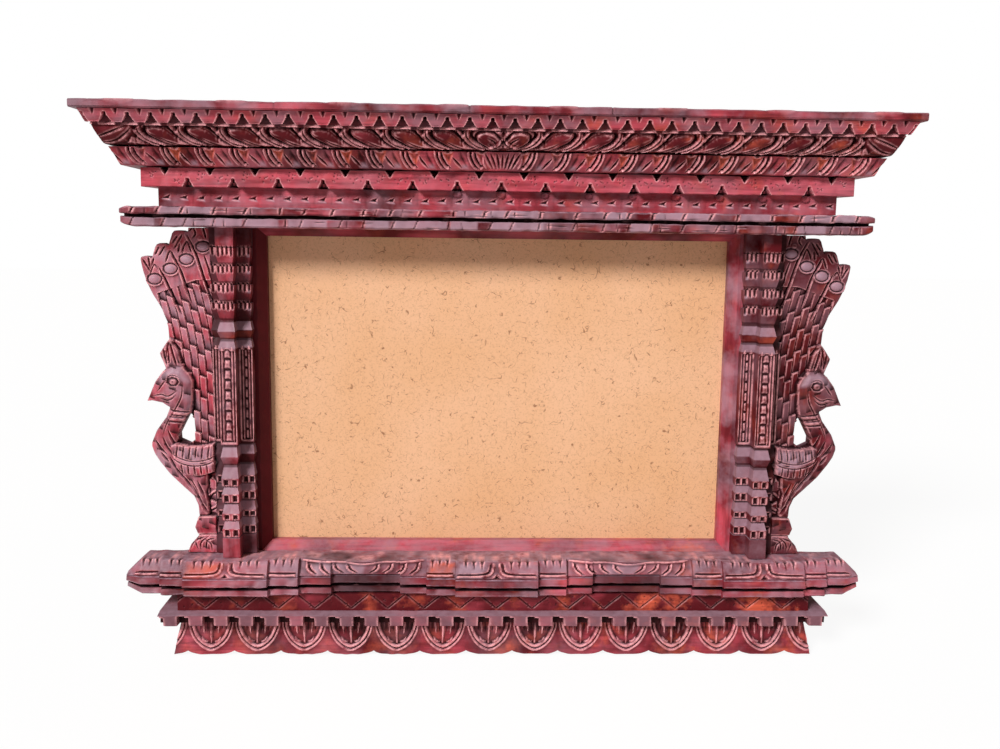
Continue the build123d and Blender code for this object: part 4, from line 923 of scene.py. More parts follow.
def build_ledge(settings):
    section = Section(
        [(FRAME_FRONT, LEDGE_FOOT), (43.0, 276.6), (44.3, 277.6), (44.3, 281.5), (43.6, 282.3), (37, 282.4),
         (37, 284.0), (45.4, 284.1), (46.2, 285.0), (46.2, 287.9), (45.2, 288.9), (FRAME_FRONT, FRIEZE_FOOT)],
        [], [9, 0.7, 0.55, 0.6, 2.2, 1.2, 2.7, 0.7, 0.6, 0.7, 7])
    low, high = (section.corners[1], section.corners[4]), (section.corners[7], section.corners[10])
    half, centre = 229, 284.5
    across = spread(2 * half, 0.75) - half
    relief = Relief(across, section.along)
    chance = np.random.default_rng(51)
    x = -222.0
    while x < 226:
        lean = chance.uniform(0.5, 3.2)
        relief.groove([(x, high[0]), (x + lean, high[1] + 1.5)], 1.6, 1.3, 0.4, 0.1)
        below = x + chance.uniform(-4, 4)
        relief.groove([(below, low[0]), (below + lean, low[1])], 1.2, 0.8, 0.4, 0.1)
        wide = chance.uniform(13, 22)
        if chance.random() < 0.5:
            relief.pit([(x - 2, high[1] + 0.5), (x + 4, high[1] + 0.5), (x + 2.5, high[1] - 1.6)], 0.9, 0.8)
        for (foot, head), left in ((high, x), (low, below)):
            if chance.random() < 0.5:
                plank = [(left + 1.5, foot), (left + wide, foot), (left + wide, head), (left + 2, head)]
                relief.tint("pale", plank, 1.2)
            if chance.random() < 0.3:
                crack = left + chance.uniform(4, 10)
                relief.groove([(crack, foot), (crack + chance.uniform(-1, 1), head)], 0.9, 0.9, 0.3, 0.2)
        x += wide
    for _ in range(26):
        left, share = chance.uniform(-222, 205), chance.uniform(0.2, 0.8)
        foot, head = low if chance.random() < 0.5 else high
        v = foot + (head - foot) * share
        crack_end = (left + chance.uniform(5, 16), v + chance.uniform(-0.5, 0.5))
        relief.groove([(left, v), crack_end], 0.9, 0.7, 0.0, 0.3)
    relief.tints["shadow"][(section.along > low[1] - 0.2) & (section.along < high[0] - 0.6)] = 1
    heights = relief.heights() + 0.35 * uneven(relief.u, relief.v, 5.0, 52) - 0.15
    points = section.points(across, heights)
    end = np.clip((np.abs(across) - 221) / 8, 0, 1)
    points[:, :, 1] += (points[:, :, 1] < -20) * 2.5 * end**1.6
    points[:, :, 2] = centre + (points[:, :, 2] - centre) * (1 - 0.3 * end**2)
    points[:, :, 1] = np.minimum(points[:, :, 1], -FRAME_FRONT)
    points[[0, -1], :, 1] = -FRAME_FRONT
    mesh = loft("ledge", points, relief.marks(heights - relief.heights()))
    place(mesh, "ledge", settings.paint("ledge", 0.85, 0.35, 0.45, 0.8), "worn_ledge", "eave_ledge")


# Base


def build_zigzag(settings):
    pitch = settings.zigzag_pitch / MM
    paint = settings.paint("zigzag", 1.1, 1.2, 0.0, 0.05)
    section = Section([(34, ZIGZAG_FOOT), (34, SILL_FOOT)], [(0, SILL_FOOT), (0, ZIGZAG_FOOT)], [0.5])

    def carve(relief, chance):
        low, high = 1.4, 11.2
        for shift in (-pitch, 0, pitch):
            valley = (shift + pitch / 2, low)
            relief.groove([(shift, high), valley], 1.2, 1.0, 0.2, 0.05)
            relief.groove([valley, (shift + pitch, high)], 1.2, 1.0, -0.2, 0.05)
        for middle in (0.02, 0.5, 0.98):
            for _ in range(4):
                relief.punch(middle * pitch + chance.normal(0, 2.5), chance.uniform(2.5, 9.5), 0.6, 0.6)

    row = lay_row(Tiles(section, "zigzag").three(pitch, 0.5, carve, 61), pitch, 19, 10, paint, wobble=0.6)
    place_row(row, (205, ZIGZAG_FOOT), (205, SILL_FOOT), "zigzag", paint, "zigzag_band")


def build_dentils(settings):
    pitch = settings.dentil_pitch / MM
    paint = settings.paint("dentil", 1.0, 0.4, 0.05, 0.4)
    half_face, shade = 4.3, 33.5
    section = Section(
        [(39.7, DENTIL_FOOT), (40, DENTIL_FOOT + 0.3), (40, 29.4), (40, 29.6), (40, 30.4), (40, 30.6),
         (40, 30.9), (34, ZIGZAG_FOOT)],
        [(0, ZIGZAG_FOOT), (0, DENTIL_FOOT)], [0.4, 1.1, 0.2, 0.4, 0.2, 0.3, 1.2])
    section.out[:] = (1, 0)
    walls = [pitch / 2 + side * (half_face + offset) for side in (-1, 1) for offset in (0, 0.25)]

    def carve(relief, chance):
        lean = chance.normal(0, 0.2)
        off = np.abs(relief.u - pitch / 2) - half_face
        gap = np.clip(off / 0.25, 0, 1) * (section.z[:, None] < 30.45 - 0.9 * (relief.u < pitch / 2))
        relief.base = -gap * (section.depth[:, None] - shade)
        # painted light: the lit faces of the teeth, and more so the slope above them that faces up, are
        # painted paler than the gaps
        relief.tints["pale"][:] = (1 - gap) * 0.4
        relief.tints["pale"][section.z > 30.7] = 0.75
        corner = pitch / 2 - 5
        chip = [(corner, -1), (corner + 2.4 + lean, -1), (corner, 1.5 + chance.uniform(0.2, 0.8))]
        relief.pit(chip, 0.6, 0.7)

    meshes = Tiles(section, "dentil", 0.12).three(pitch, 1.1, carve, 71, walls)
    row = lay_row(meshes, pitch, 27, 11, paint, wobble=1.0)
    place_row(row, (216.4, DENTIL_FOOT), (216.4, ZIGZAG_FOOT), "dentils", paint, "dentil_moulding")


PETAL_ARCH = [(0.7, 24), (1.7, 17), (4.8, 10.3), (9.8, 5.6), (15.1, 3.5)]


def build_petals(settings):
    pitch = settings.petal_pitch / MM
    paint = settings.paint("petal", 0.6, 0.9, 0.15, 0.7)
    middle, top = pitch / 2, DENTIL_FOOT
    section = Section([(30.7, 0.2), (31, 0.6), (28.2, top)], [(0, top), (0, 0.2)], [0.5, 0.55])
    half = [(u * middle / PETAL_ARCH[-1][0], v) for u, v in PETAL_ARCH]
    arch = half + [(pitch - u, v) for u, v in half[-2::-1]]

    def shrunk(across, up):
        return [(middle + (u - middle) * across, top + (v - top) * up) for u, v in arch]

    def carve(relief, chance):
        inner = shrunk(0.84, 0.86)
        relief.base -= 0.9
        relief.level(shrunk(0.86, 0.88), -1.15, 1.4)
        relief.bead(arch, 1.6, 0.8, 0.02)
        relief.bead(inner, 2.3, 1.5, 0.02)
        between = [((a + c) / 2, (b + d) / 2) for (a, b), (c, d) in zip(arch, inner)]
        relief.groove(between, 1.0, 0.8, taper=0.03)
        relief.bead([(middle, 24.5), (middle, 16), (middle + chance.normal(0, 0.2), 7.6)], 1.5, 1.3, 0.3)
        for sign in (-1, 1):
            relief.bead(sided([(5.4, 24.5), (5.0, 19), (4.6, 14.5)], sign, middle), 1.4, 1.2, 0.25)
            relief.groove(sided([(2.6, 24.5), (2.3, 15)], sign, middle), 1.6, 0.5)
            relief.groove(sided([(7.6, 24.5), (7.0, 16)], sign, middle), 1.4, 0.5)
            relief.bead(sided([(2.2, 9.2), (4.6, 9.8), (6.2, 12.2)], sign, middle), 1.3, 1.1, 0.3)

    def scallop(across):
        return 2.4 * np.abs(2 * across / pitch - 1) ** 4

    meshes = Tiles(section, "petal").three(pitch, 0.5, carve, 81, rise=scallop)
    row = lay_row(meshes, pitch, 15, 12, paint, settings.petal_shift / MM - 7.5 * pitch)
    place_row(row, (209.5, 0), (204.5, DENTIL_FOOT), "petals", paint, "petal_skirt")


# The sill's steps: a distance from the middle, and how far the lips and the crown stand back from there on
SILL_STEPS = [
    (0, 0, 0), (26.5, 3, 3), (45, 6, 7), (62, 9.5, 2), (106, 6, 7), (126.5, 3, 3), (145.5, 0, 0),
    (198.5, 3, 3), (213.5, 6, 5)]


def build_sill(settings):
    section = Section(
        [(FRAME_FRONT, SILL_FOOT), (42, SILL_FOOT), (44.3, 45.2), (43, 49.2), (37, 49.4), (37, 50.6),
         (45, 50.8), (46.8, 52), (45.6, 56.4), (44.8, 56.7), (46.3, 57.6), (40, 67.2), (39.4, SILL_TOP),
         (FRAME_FRONT, SILL_TOP)],
        [], [9, 0.8, 0.7, 2, 1.5, 2.5, 0.7, 0.6, 0.6, 0.6, 0.42, 0.6, 8])
    rim, crest = section.corners[10], section.corners[11]
    between_lips = (section.along > section.corners[3] - 0.1) & (section.along < section.corners[6] - 0.4)
    half, run_middle, run_half = 235.6, 85.5, 40.5
    steps = [x for x, _, _ in SILL_STEPS[1:]]
    walls = [half + side * (x + offset) for side in (-1, 1) for x in steps for offset in (-0.15, 0.15)]
    across = spread(2 * half, 0.72, walls) - half
    relief = Relief(across, section.along)
    relief.tints["shadow"][between_lips] = 1
    relief.base -= 0.5

    def on_slope(points, middle, side):
        return [(u, rim + v) for u, v in sided(points, side, middle)]

    def spike(x):
        relief.pit(notch(x, crest, crest - 6.4, 1.1, 1.2), 1.5, 1.1)

    for middle in (0, -172, 172):
        relief.pit([(middle - 3, rim + 0.2), (middle + 3, rim + 0.2), (middle, rim + 3.4)], 1.8, 0.8)
        for side in (-1, 1):
            ridge = [(25.5, 1.5), (15.6, 1.6), (6.5, 2.3), (2.86, 4.6), (1.82, 10.6)]
            relief.bead(on_slope(ridge, middle, side), 1.5, 1.5, 0.03)
            inner = [(25.5, 2.9), (15.6, 3.0), (7.8, 3.7), (4.68, 5.6), (3.64, 10.8)]
            relief.groove(on_slope(inner, middle, side), 1.6, 1.0, 0.0, 0.05)
            for out in (9.36, 14.56, 19.76):
                spike(middle + side * out)
    for side in (-1, 1):
        for x in (31.5, 36.5, 41, 131, 136, 141, 202, 207, 216.5, 221, 225):
            spike(side * x)
        for low, high in ((27.5, 44.5), (127.5, 145), (199.5, 213), (214.5, 230)):
            relief.bead(on_slope([(low, 1.5), ((low + high) / 2, 1.3), (high, 1.6)], 0, side), 1.5, 1.4, 0.04)
            relief.groove(on_slope([(low, 2.9), (high, 2.9)], 0, side), 1.5, 0.9, 0.0, 0.05)
        middle = side * run_middle
        wavy = [(-39, 10.4), (-26, 10.1), (-13, 10.7), (0, 8.8), (13, 10.7), (26, 10.1), (39, 10.4)]
        relief.bead(on_slope(wavy, middle, 1), 1.7, 1.3, 0.04)
        for turn in (-1, 1):
            for n in range(4):
                foot = 5 + 8.6 * n
                curve = [(foot, 0.8), (foot + 4.4, 4.4), (foot + 5.6, 9.4)]
                relief.bead(on_slope(curve, middle, turn), 1.6, 1.5, 0.15)
                beside = [(foot - 1.6, 1.2), (foot + 2.8, 4.8), (foot + 4.2, 9.4)]
                relief.groove(on_slope(beside, middle, turn), 1.8, 1.3, 0.0, 0.3)
    for low, high, kind in (
            (-198, -173, "ember"), (-44, -27, "ember"), (118, 128, "ember"),
            (-117, -84, "pale"), (70, 92, "pale"), (-26, -8, "pale")):
        area = [(low, rim + 0.5), (low + 2, crest - 1), (high, crest - 2), (high - 2, rim + 0.5)]
        relief.tint(kind, area, 2.5)
    distance = np.abs(across)
    set_back = np.clip(1.6 - np.abs(np.abs(relief.u) - run_middle) / 26, 0, 1)
    set_back *= (relief.v < rim - 0.4) & (relief.v > 8)
    relief.tints["shadow"] = np.maximum(relief.tints["shadow"], 0.75 * set_back)
    lips, crown = np.zeros_like(across), np.zeros_like(across)
    for x, lip_step, crown_step in SILL_STEPS:
        lips = np.where(distance > x, lip_step, lips)
        crown = np.where(distance > x, crown_step, crown)
    bulge = 7.5 * np.clip(np.abs(distance - run_middle) / run_half, 0, 1) ** 2
    crown = np.where((distance > 45) & (distance < 126.5), bulge, crown)
    share = np.clip((section.along - rim) / (crest - rim), 0, 1)[:, None]
    setback = lips * (1 - share) + crown * share
    setback[[0, -1]] = 0
    heights = relief.heights() + 0.3 * uneven(relief.u, relief.v, 5.0, 92)
    points = section.points(across, heights, setback)
    end = np.clip((distance - 226.5) / 9.1, 0, 1)
    points[:, :, 1] = -FRAME_FRONT + (points[:, :, 1] + FRAME_FRONT) * (1 - 0.1 * end)
    rim_z = 57
    crown_share = np.where(points[:, :, 2] > rim_z, 0.85, 0.35)
    points[:, :, 2] = rim_z + (points[:, :, 2] - rim_z) * (1 - crown_share * end)
    points[:, :, 1] = np.minimum(points[:, :, 1], -FRAME_FRONT)
    points[[0, -1], :, 1] = -FRAME_FRONT
    mesh = loft("sill", points, relief.marks(heights - relief.heights()))
    place(mesh, "sill", settings.paint("sill", 0.6, 0.5, 0.45, 0.9), "painted_wood", "lotus_sill")


# Posts

# A post from the top down: heights above the window's lowest edge, and how far it is pinched in there
POST_PINCH = [
    (LEDGE_FOOT, 0), (265.1, 0), (265.0, 2.4), (264.45, 2.4), (264.4, 0.2), (259.2, 0.5), (253.8, 2.9),
    (252.95, 2.9), (252.9, 0.2), (248.2, 0.5), (242.4, 2.9), (241.45, 2.9), (241.4, 0.2), (236.4, 0.5),
    (231.3, 2.9), (229.95, 2.9), (229.9, 0.2), (225.4, 0.5), (219.4, 3.0), (218.6, 2.6), (212.6, 0.0),
    (207.8, 3.0), (202.6, 0.6), (140.9, 0.6), (140.85, 2.6), (139.8, 2.6), (133.0, 0.0), (127.6, 2.9),
    (118.9, 0.1), (114.25, 0.4), (114.2, 2.9), (108.7, 0.1), (103.55, 0.4), (103.5, 2.9), (96.0, 0.1),
    (92.05, 0.4), (92.0, 2.9), (86.0, 0.1), (80.95, 0.4), (80.9, 1.8), (80.3, 1.8), (80.25, 0.0),
    (SILL_TOP, 0.0)]
POST_ROOFS = [
    (218.6, 212.6), (207.8, 202.0), (139.8, 133.0), (127.6, 118.9), (114.2, 108.7), (103.5, 96.0),
    (92.0, 86.0)]
POST_TIERS = [(264.4, 258.2), (252.9, 247.8), (241.4, 235.9), (229.9, 225.0)]
POST_SLOTS = [(118.9, 114.2), (108.7, 103.5), (96.0, 92.0), (86.0, 80.9)]
# The plan of a post: distances from the window's middle and depths, from the inner side to the outer
POST_PLAN = [
    (155.6, FRAME_FRONT), (155.6, 24), (164, 24), (164, 34), (175, 34), (175, 24), (181.2, 24),
    (181.2, FRAME_FRONT)]
# How far a pinch moves each of those distances and depths
POST_INSET = {155.6: 0.5, 164: 0.5, 175: -0.5, 181.2: -0.5}
POST_SINK = {FRAME_FRONT: 0.0, 24: -0.7, 34: -1.0}


def post_mesh(side):
    knots = np.array(POST_PINCH)[::-1]
    up = [knots[0, 0]]
    for low, high in zip(knots[:-1, 0], knots[1:, 0]):
        count = max(1, round((high - low) / 0.6))
        up += list(low + (high - low) * np.arange(1, count + 1) / count)
    up = np.array(up)
    pinch = np.interp(up, knots[:, 0], knots[:, 1])
    along, x, depth, x_in, depth_in, out = [0.0], [], [], [], [], []
    corners = [0.0]
    for (x0, d0), (x1, d1) in zip(POST_PLAN, POST_PLAN[1:]):
        length = math.hypot(x1 - x0, d1 - d0)
        count = max(2, round(length / 0.55))
        for n in range(1 if x else 0, count + 1):
            share = n / count
            x.append(x0 + (x1 - x0) * share)
            depth.append(d0 + (d1 - d0) * share)
            x_in.append(POST_INSET[x0] * (1 - share) + POST_INSET[x1] * share)
            depth_in.append(POST_SINK[d0] * (1 - share) + POST_SINK[d1] * share)
            out.append(((d0 - d1) / length, (x1 - x0) / length))
            if len(x) > 1:
                along.append(corners[-1] + length * share)
        corners.append(corners[-1] + length)
    relief = Relief(np.array(along), up)
    inner, front, outer = (corners[1], corners[2]), (corners[3], corners[4]), (corners[5], corners[6])
    for rib, flutes in ((inner, 3), (front, 4), (outer, 2)):
        width = rib[1] - rib[0]
        for high, low in POST_TIERS:
            for n in range(flutes):
                u = rib[0] + width * (n + 0.5) / flutes
                tip = low + 0.8 + 0.5 * math.sin(3 * u + high)
                relief.groove([(u, tip), (u, high + 1.5)], width / flutes * 0.66, 1.5, 0.25, 0.2)
        slots = 2 if flutes > 2 else 1
        for high, low in POST_SLOTS:
            for n in range(slots):
                u = rib[0] + width * (n + 0.5) / slots
                slot = [(u - 1.5, low), (u + 1.5, low), (u + 1.5, high - 0.5), (u - 1.5, high - 0.5)]
                relief.pit(slot, 2.0, 0.4)
    for left, right in (inner, front, outer):
        panel = [(left + 0.9, 142.5), (right - 0.9, 142.5), (right - 0.9, 200.5), (left + 0.9, 200.5)]
        relief.level(panel, -1.5, 0.5)
        for u in (left + 2.2, right - 2.2):
            relief.bead([(u, 142), (u, 203)], 1.5, 1.3, 0.04)
        if right - left < 7:
            continue
        middle, half = (left + right) / 2, (right - left) / 2 - 3.2
        for n in range(9):
            foot = 143.2 + 6.6 * n
            relief.level([(middle - half, foot), (middle + half, foot), (middle + half, foot + 3.4),
                          (middle + half * 0.6, foot + 5.4), (middle - half * 0.6, foot + 5.4),
                          (middle - half, foot + 3.4)], 0.0, 0.5, 2.0, 1.3)
    # painted light: the roofs of the tiers face up and are painted paler, as lit slopes
    for high, low in POST_ROOFS:
        relief.tints["pale"][(up > low) & (up < high)] = 0.75
    relief.tints["ember"][(up > 208) & (up < 212.4)] = 0.35
    relief.tints["shadow"][pinch > 2.35] = 0.7
    beside = relief.u > corners[5] - 2.5
    relief.tints["shadow"] = np.where(beside, 0.75, relief.tints["shadow"])
    relief.tints["pale"] = np.where(beside, 0, relief.tints["pale"])
    if side < 0:
        shaded = np.clip((corners[3] - 0.5 - relief.u) / 1.5, 0, 1)
        shaded *= relief.tints["pale"] < 0.3
        relief.tints["shadow"] = np.maximum(relief.tints["shadow"], 0.55 * shaded)
    # painted highlight: a pale hook at the foot of each tier and slot on the inner rib
    for high, low in POST_TIERS + POST_SLOTS:
        u = inner[0] + 1.2
        relief.tint("pale", [(u - 1, low), (u + 1, low), (u + 1.4, low + 2.5), (u - 0.2, low + 2.5)], 0.5)
    heights = relief.heights().T + 0.22 * uneven(relief.u, relief.v, 3.5, 101).T
    heights[[0, -1]] = 0
    x, depth, x_in, depth_in = (np.array(values)[:, None] for values in (x, depth, x_in, depth_in))
    out, lift = np.array(out), np.minimum(heights, 0.0)
    points = np.stack([x + x_in * pinch + out[:, :1] * lift, -(depth + depth_in * pinch + out[:, 1:] * lift),
                       np.broadcast_to(up, heights.shape)], axis=-1)
    mesh = loft("post", points, {key: values.T for key, values in relief.marks().items()})
    with opened(mesh) as work:
        bmesh.ops.scale(work, vec=(side, 1, 1), verts=work.verts)
    return mesh


def build_posts(settings):
    left = settings.paint("post", 0.75, 0.2, 0.4, 0.9, upright=True)
    right = settings.paint("right_post", 1.15, 0.3, 0.3, 0.8, upright=True)
    place(post_mesh(-1), "post_left", left, "painted_wood", "left_post")
    place(post_mesh(1), "post_right", right, "painted_wood", "right_post")


# Birds: every point is a distance out from the post and a height above the sill, in millimetres

# Where its board meets the post, and how far its back stands off the wall
BIRD_SIDE, BIRD_BACK = 181.2, 14
BIRD_EDGE = [
    (0, 208.8), (13.2, 208.8), (13.5, 206.6), (14.7, 206.2), (16.7, 207), (19.5, 207.1), (21.9, 206.8),
    (23.3, 205.1), (24.3, 202), (25.2, 199.3), (25.6, 197.2), (26.3, 198.1), (28.6, 199.1), (31.2, 199),
    (32.9, 198.3), (34.1, 196.4), (35.1, 193.3), (35.8, 190.9), (36.5, 189.5), (38.2, 190.8), (40.6, 191),
    (42.7, 190.4), (43.3, 189.1), (42.8, 185.6), (41.8, 180.8), (40.2, 175.8), (38.4, 171.4), (36.3, 166.8),
    (32.2, 159.7), (27.7, 147.2), (27.6, 138.4), (32.8, 130), (29.6, 120.9), (35.9, 112.2), (41.1, 99.8),
    (37.8, 100.3), (31.3, 98.8), (27.4, 95.7), (29.6, 89.6), (36, 80.7), (39, 72.9), (39.1, 70.8),
    (37.5, 66.1), (34.2, 60.5), (28.3, 52.6), (20.5, 44.7), (13.5, 37.9), (11.1, 32.1), (10.8, 24.6),
    (11.4, 23.5), (13.1, 17.7), (11.7, 11.2), (16.5, 5.9), (18.8, 0.6), (18.8, 0), (0, 0)]
BIRD_HOLE = [
    (15.7, 92), (17, 89.7), (20.3, 83.4), (23.0, 78.0), (22.8, 74.1), (16.6, 71.2), (13, 74.1), (13.1, 87.2)]
BIRD_BODY = [
    (12.5, 113), (15, 117.5), (19, 121.5), (25, 122.5), (31.5, 118.5), (37, 112), (43, 101), (43, 96),
    (28, 94.5), (30.5, 89.6), (38, 80.7), (42, 72.9), (41, 64), (36, 58), (30, 51), (22, 43.5), (15, 36.5),
    (12.5, 30), (12, 24.6), (5, 25), (4.8, 33), (6.6, 40), (5, 45), (5, 52), (14, 56), (22, 66), (24, 72.5),
    (20.3, 83.4), (17, 89.7), (14.6, 92), (13, 100)]
BIRD_WING = [
    (0, 72.5), (8.5, 71), (16.5, 71), (24, 72.5), (27, 71), (26.5, 65), (23.8, 58), (18.5, 52), (12.5, 51),
    (5.5, 52), (0, 54)]
EYE_SOCKET = [(20.6, 112), (22, 114.6), (25, 115.4), (28, 114.2), (28.6, 111.4), (26, 109.4), (22.6, 109.4)]
PALE_BIRD_AREAS = [
    [(14, 112), (18, 119), (25, 121), (31, 117.5), (34, 111), (27, 113.5), (22, 113.5)], [(1, 56), (1, 70),
    (15, 69.5), (24, 70.5), (25, 66), (14, 58)]]
WING_BAND = [(25.5, 64), (20, 61), (13, 59.5), (5, 60.5), (-2, 63.5)]
BIRD_CREST = [(19, 121.5), (21.2, 131), (24.4, 138.5), (26.5, 139.5), (34.5, 131), (29.6, 119.5)]
FEATHER_EYES = [(4.5, 197), (15, 189), (25, 183), (35, 176.5)]
TAIL_GROOVES = [
    [(14.5, 205), (8.5, 192), (3.5, 175.5), (-1, 161.5)], [(24, 194.5), (20.5, 186), (18.5, 182),
    (15.5, 172.5), (12.5, 161)], [(33, 185.5), (28.5, 177), (24, 166.5), (18.5, 154)], [(4, 192),
    (1.5, 184), (-0.5, 176)], [(17.5, 192.5), (16.5, 197), (14, 200), (12, 193.5)], [(28, 187), (25, 194),
    (22, 187.5)], [(38, 179), (35, 185.5), (31.5, 180.5)], [(11, 210), (9, 205.5), (11, 202)], [(13, 206.5),
    (9.5, 210)], [(5, 210), (3.5, 206.5), (2.5, 202)], [(23.5, 199), (20, 204)], [(22.5, 195.5), (17, 205)],
    [(20, 193), (19, 199.5)], [(34.5, 191.5), (31.5, 197)], [(32, 191), (28, 197.5)], [(42, 189),
    (37.5, 181)], [(38.5, 190.5), (37.5, 182)], [(35, 190), (37, 184)]]
CREST_GROOVES = [
    [(27, 137.5), (29.5, 125.5)], [(28, 137), (27, 123.5)], [(26.5, 137), (22.5, 122)], [(25, 137.5),
    (20, 131.5)], [(30.5, 133), (28.5, 122.5)]]
HEAD_GROOVES = [
    [(28.5, 112), (27, 115.5), (23.5, 116), (20, 114.5)], [(38, 103), (32, 104), (27.5, 103), (21.5, 107)],
    [(34, 102), (27.5, 100.5), (22.5, 104)], [(34.5, 106), (30, 112), (29, 111)], [(18.5, 113), (19.5, 103),
    (23.5, 95), (29, 86), (32, 77)]]
COLLARS = [[(26.5, 92.5), (14.5, 91)], [(28.5, 88.5), (15.5, 87.2)]]
BREAST_GROOVES = [
    [(32, 77), (29.5, 70.5), (25.5, 65)], [(28.5, 81.5), (25.5, 73.5), (21, 68)], [(33.5, 67),
    (28.5, 60.5)], [(28, 64), (23.5, 55)], [(25.5, 58), (18, 48.5)], [(20.5, 52.5), (13, 41.5)], [(16, 48),
    (9.5, 36.5)], [(12, 41.5), (7.5, 31)], [(9.5, 35), (5, 26.5)], [(15, 49.5), (10, 38.5)], [(11, 48.5),
    (6.5, 36)], [(36.5, 75), (33, 69), (29, 65)]]
FOOT_GROOVES = [
    [(4.5, 11.5), (10, 7), (10.5, 1.5)], [(17, 2), (14.5, 8), (12, 2)], [(8.5, 9.5), (4, 6), (3, 1)],
    [(0.5, 10), (6, 8), (7, 2)], [(16.2, 5.5), (12, 9), (6, 11)]]


def oval(middle, half_width, half_height, angles):
    """Points on an oval, or on a part of it."""
    return [(middle[0] + half_width * math.cos(a), middle[1] + half_height * math.sin(a)) for a in angles]


def carve_tail(relief):
    """Cuts the barbs of the fanned tail as rows of small sloping bricks, then its eyes and ribs."""
    u, v = relief.u, relief.v
    brick_width, brick_height, fan_foot = 4.5, 14, 110
    column = (u - 0.0019 * np.maximum(v - fan_foot, 0) ** 2) / brick_width
    row = (v - 1.5 * column - 117) / brick_height + 0.3 * (np.floor(column) % 2)
    across, up = column - np.floor(column), row - np.floor(row)
    shape = -2.0 * (1 - up) ** 1.5 - 0.6 * across
    groove = np.clip(1 - np.minimum(across, 1 - across) * brick_width / 0.55, 0, 1)
    ledge = np.clip(1 - np.minimum(up, 1 - up) * brick_height / 0.5, 0, 1)
    barbs = (v < 176 - 0.35 * np.maximum(u - 10, 0)) | (v < 150)
    relief.base += np.where(barbs, shape - 0.9 * groove - 0.3 * ledge, -0.3)
    dark = np.clip(1.25 * (1 - up) ** 3 - 0.6 * np.abs(across - 0.55), 0, 1)
    relief.tints["shadow"] = np.where(barbs, dark, 0)
    for line in TAIL_GROOVES:
        relief.groove(line, 1.7, 1.6, taper=0.2)
    for line in TAIL_GROOVES[:3]:
        relief.bead([(u + 1.3, v) for u, v in line], 1.2, 0.9, 0.08)
    for eye in FEATHER_EYES:
        ring = oval(eye, 5.2, 4.0, np.linspace(0, 2 * math.pi, 12, endpoint=False))
        relief.level(ring, 19.9, 0.8)
        relief.dome(*eye, 4.1, 3.1, 2.2)
        relief.tint("pale", ring, 1.5)
        relief.bead(oval(eye, 5.0, 3.9, np.linspace(math.pi * 0.95, math.pi * 2.1, 9)), 1.2, 1.6, 0.1)
    relief.dome(6, 202, 1.8, 1.8, 0.9)


def bird_relief(step):
    """The bird, its tail and its foot, carved from the front in one board."""
    relief = Relief(np.arange(-step, 45, step), np.arange(-step, 210.5, step))
    relief.base += 21.3
    carve_tail(relief)
    relief.level(BIRD_CREST, 23.5, 1.0, 3, 1.4)
    relief.level(BIRD_BODY, 25.5, 0.9, 5.0, 2.6)
    for line in CREST_GROOVES:
        relief.groove(line, 2.0, 1.6, taper=0.15)
    for line in HEAD_GROOVES:
        relief.groove(line, 1.4, 1.1, taper=0.3)
    relief.level(EYE_SOCKET, 24.2, 0.6)
    relief.dome(24.6, 112, 2.3, 2.0, 1.5)
    for area in PALE_BIRD_AREAS:
        relief.tint("pale", area, 3.0)
    relief.punch(24.6, 112, 0.8, 0.7)

    def groove_beside(line, rise, width, depth, taper):
        relief.groove([(u, v + rise) for u, v in line], width, depth, taper=taper)

    for line in COLLARS:
        relief.bead(line, 1.7, 0.9, 0.05)
        groove_beside(line, -1.7, 1.5, 1.2, 0.05)
        groove_beside(line, 1.5, 1.3, 1.0, 0.05)
    for line in BREAST_GROOVES:
        relief.groove(line, 2.2, 1.5, 0.3, 0.35)
    relief.level(BIRD_WING, 26.9, 0.8, 2.5, 1.0)
    relief.bead(WING_BAND, 1.6, 0.3, 0.02)
    groove_beside(WING_BAND, -1.5, 1.4, 1.3, 0.02)
    groove_beside(WING_BAND, 1.5, 1.2, 1.1, 0.02)
    for n in range(6):
        u = 3.2 + 4.0 * n
        relief.groove([(u - 0.8, 71.5), (u, 67), (u + 0.4, 62.5)], 1.5, 1.3, 0.3, 0.2)
        relief.groove([(u - 2.6, 59.5), (u - 3.0, 56), (u - 3.4, 52)], 1.5, 1.3, 0.3, 0.2)
    relief.level([(0.2, 42), (0.6, 47.5), (2.4, 50), (4.2, 48), (4.8, 42.5)], 21.0, 0.8)
    for line in ([(5, 37), (2, 40), (-2, 41)], [(4, 28.5), (1.5, 30), (-1.5, 31)]):
        relief.bead(line, 1.6, 1.2, 0.1)
        groove_beside(line, -1.6, 1.4, 1.2, 0.3)
    relief.level([(-1, 24.6), (11, 24.6), (15, 18), (15, 12.5), (-1, 12.5)], 26.6, 0.5)
    near = (relief.v > 12.4) & (relief.v < 24.7) & (relief.u < 15)
    ridge = np.where(relief.v > 18, (relief.v - 18) / 6.5 * 1.6, (18 - relief.v) / 5.5 * 2.6)
    relief.base = np.where(near, relief.base - ridge, relief.base)
    relief.level([(-1, 12.3), (11.5, 12.3), (19.5, 5), (20, -1), (-1, -1)], 24.3, 0.5, 3, 1.2)
    for line in FOOT_GROOVES:
        relief.groove(line, 1.5, 1.2, taper=0.3)
    return relief


def nearest_on(loops, u, v):
    """The nearest point of some outlines to each point."""
    best = np.full(u.shape, np.inf)
    near_u, near_v = u.copy(), v.copy()
    for loop in loops:
        corners = np.asarray(loop, float)
        for (au, av), (bu, bv) in zip(corners, np.roll(corners, -1, axis=0)):
            du, dv = bu - au, bv - av
            share = np.clip(((u - au) * du + (v - av) * dv) / (du * du + dv * dv), 0, 1)
            point_u, point_v = au + share * du, av + share * dv
            distance = np.hypot(u - point_u, v - point_v)
            closer = distance < best
            best = np.where(closer, distance, best)
            near_u, near_v = np.where(closer, point_u, near_u), np.where(closer, point_v, near_v)
    return near_u, near_v


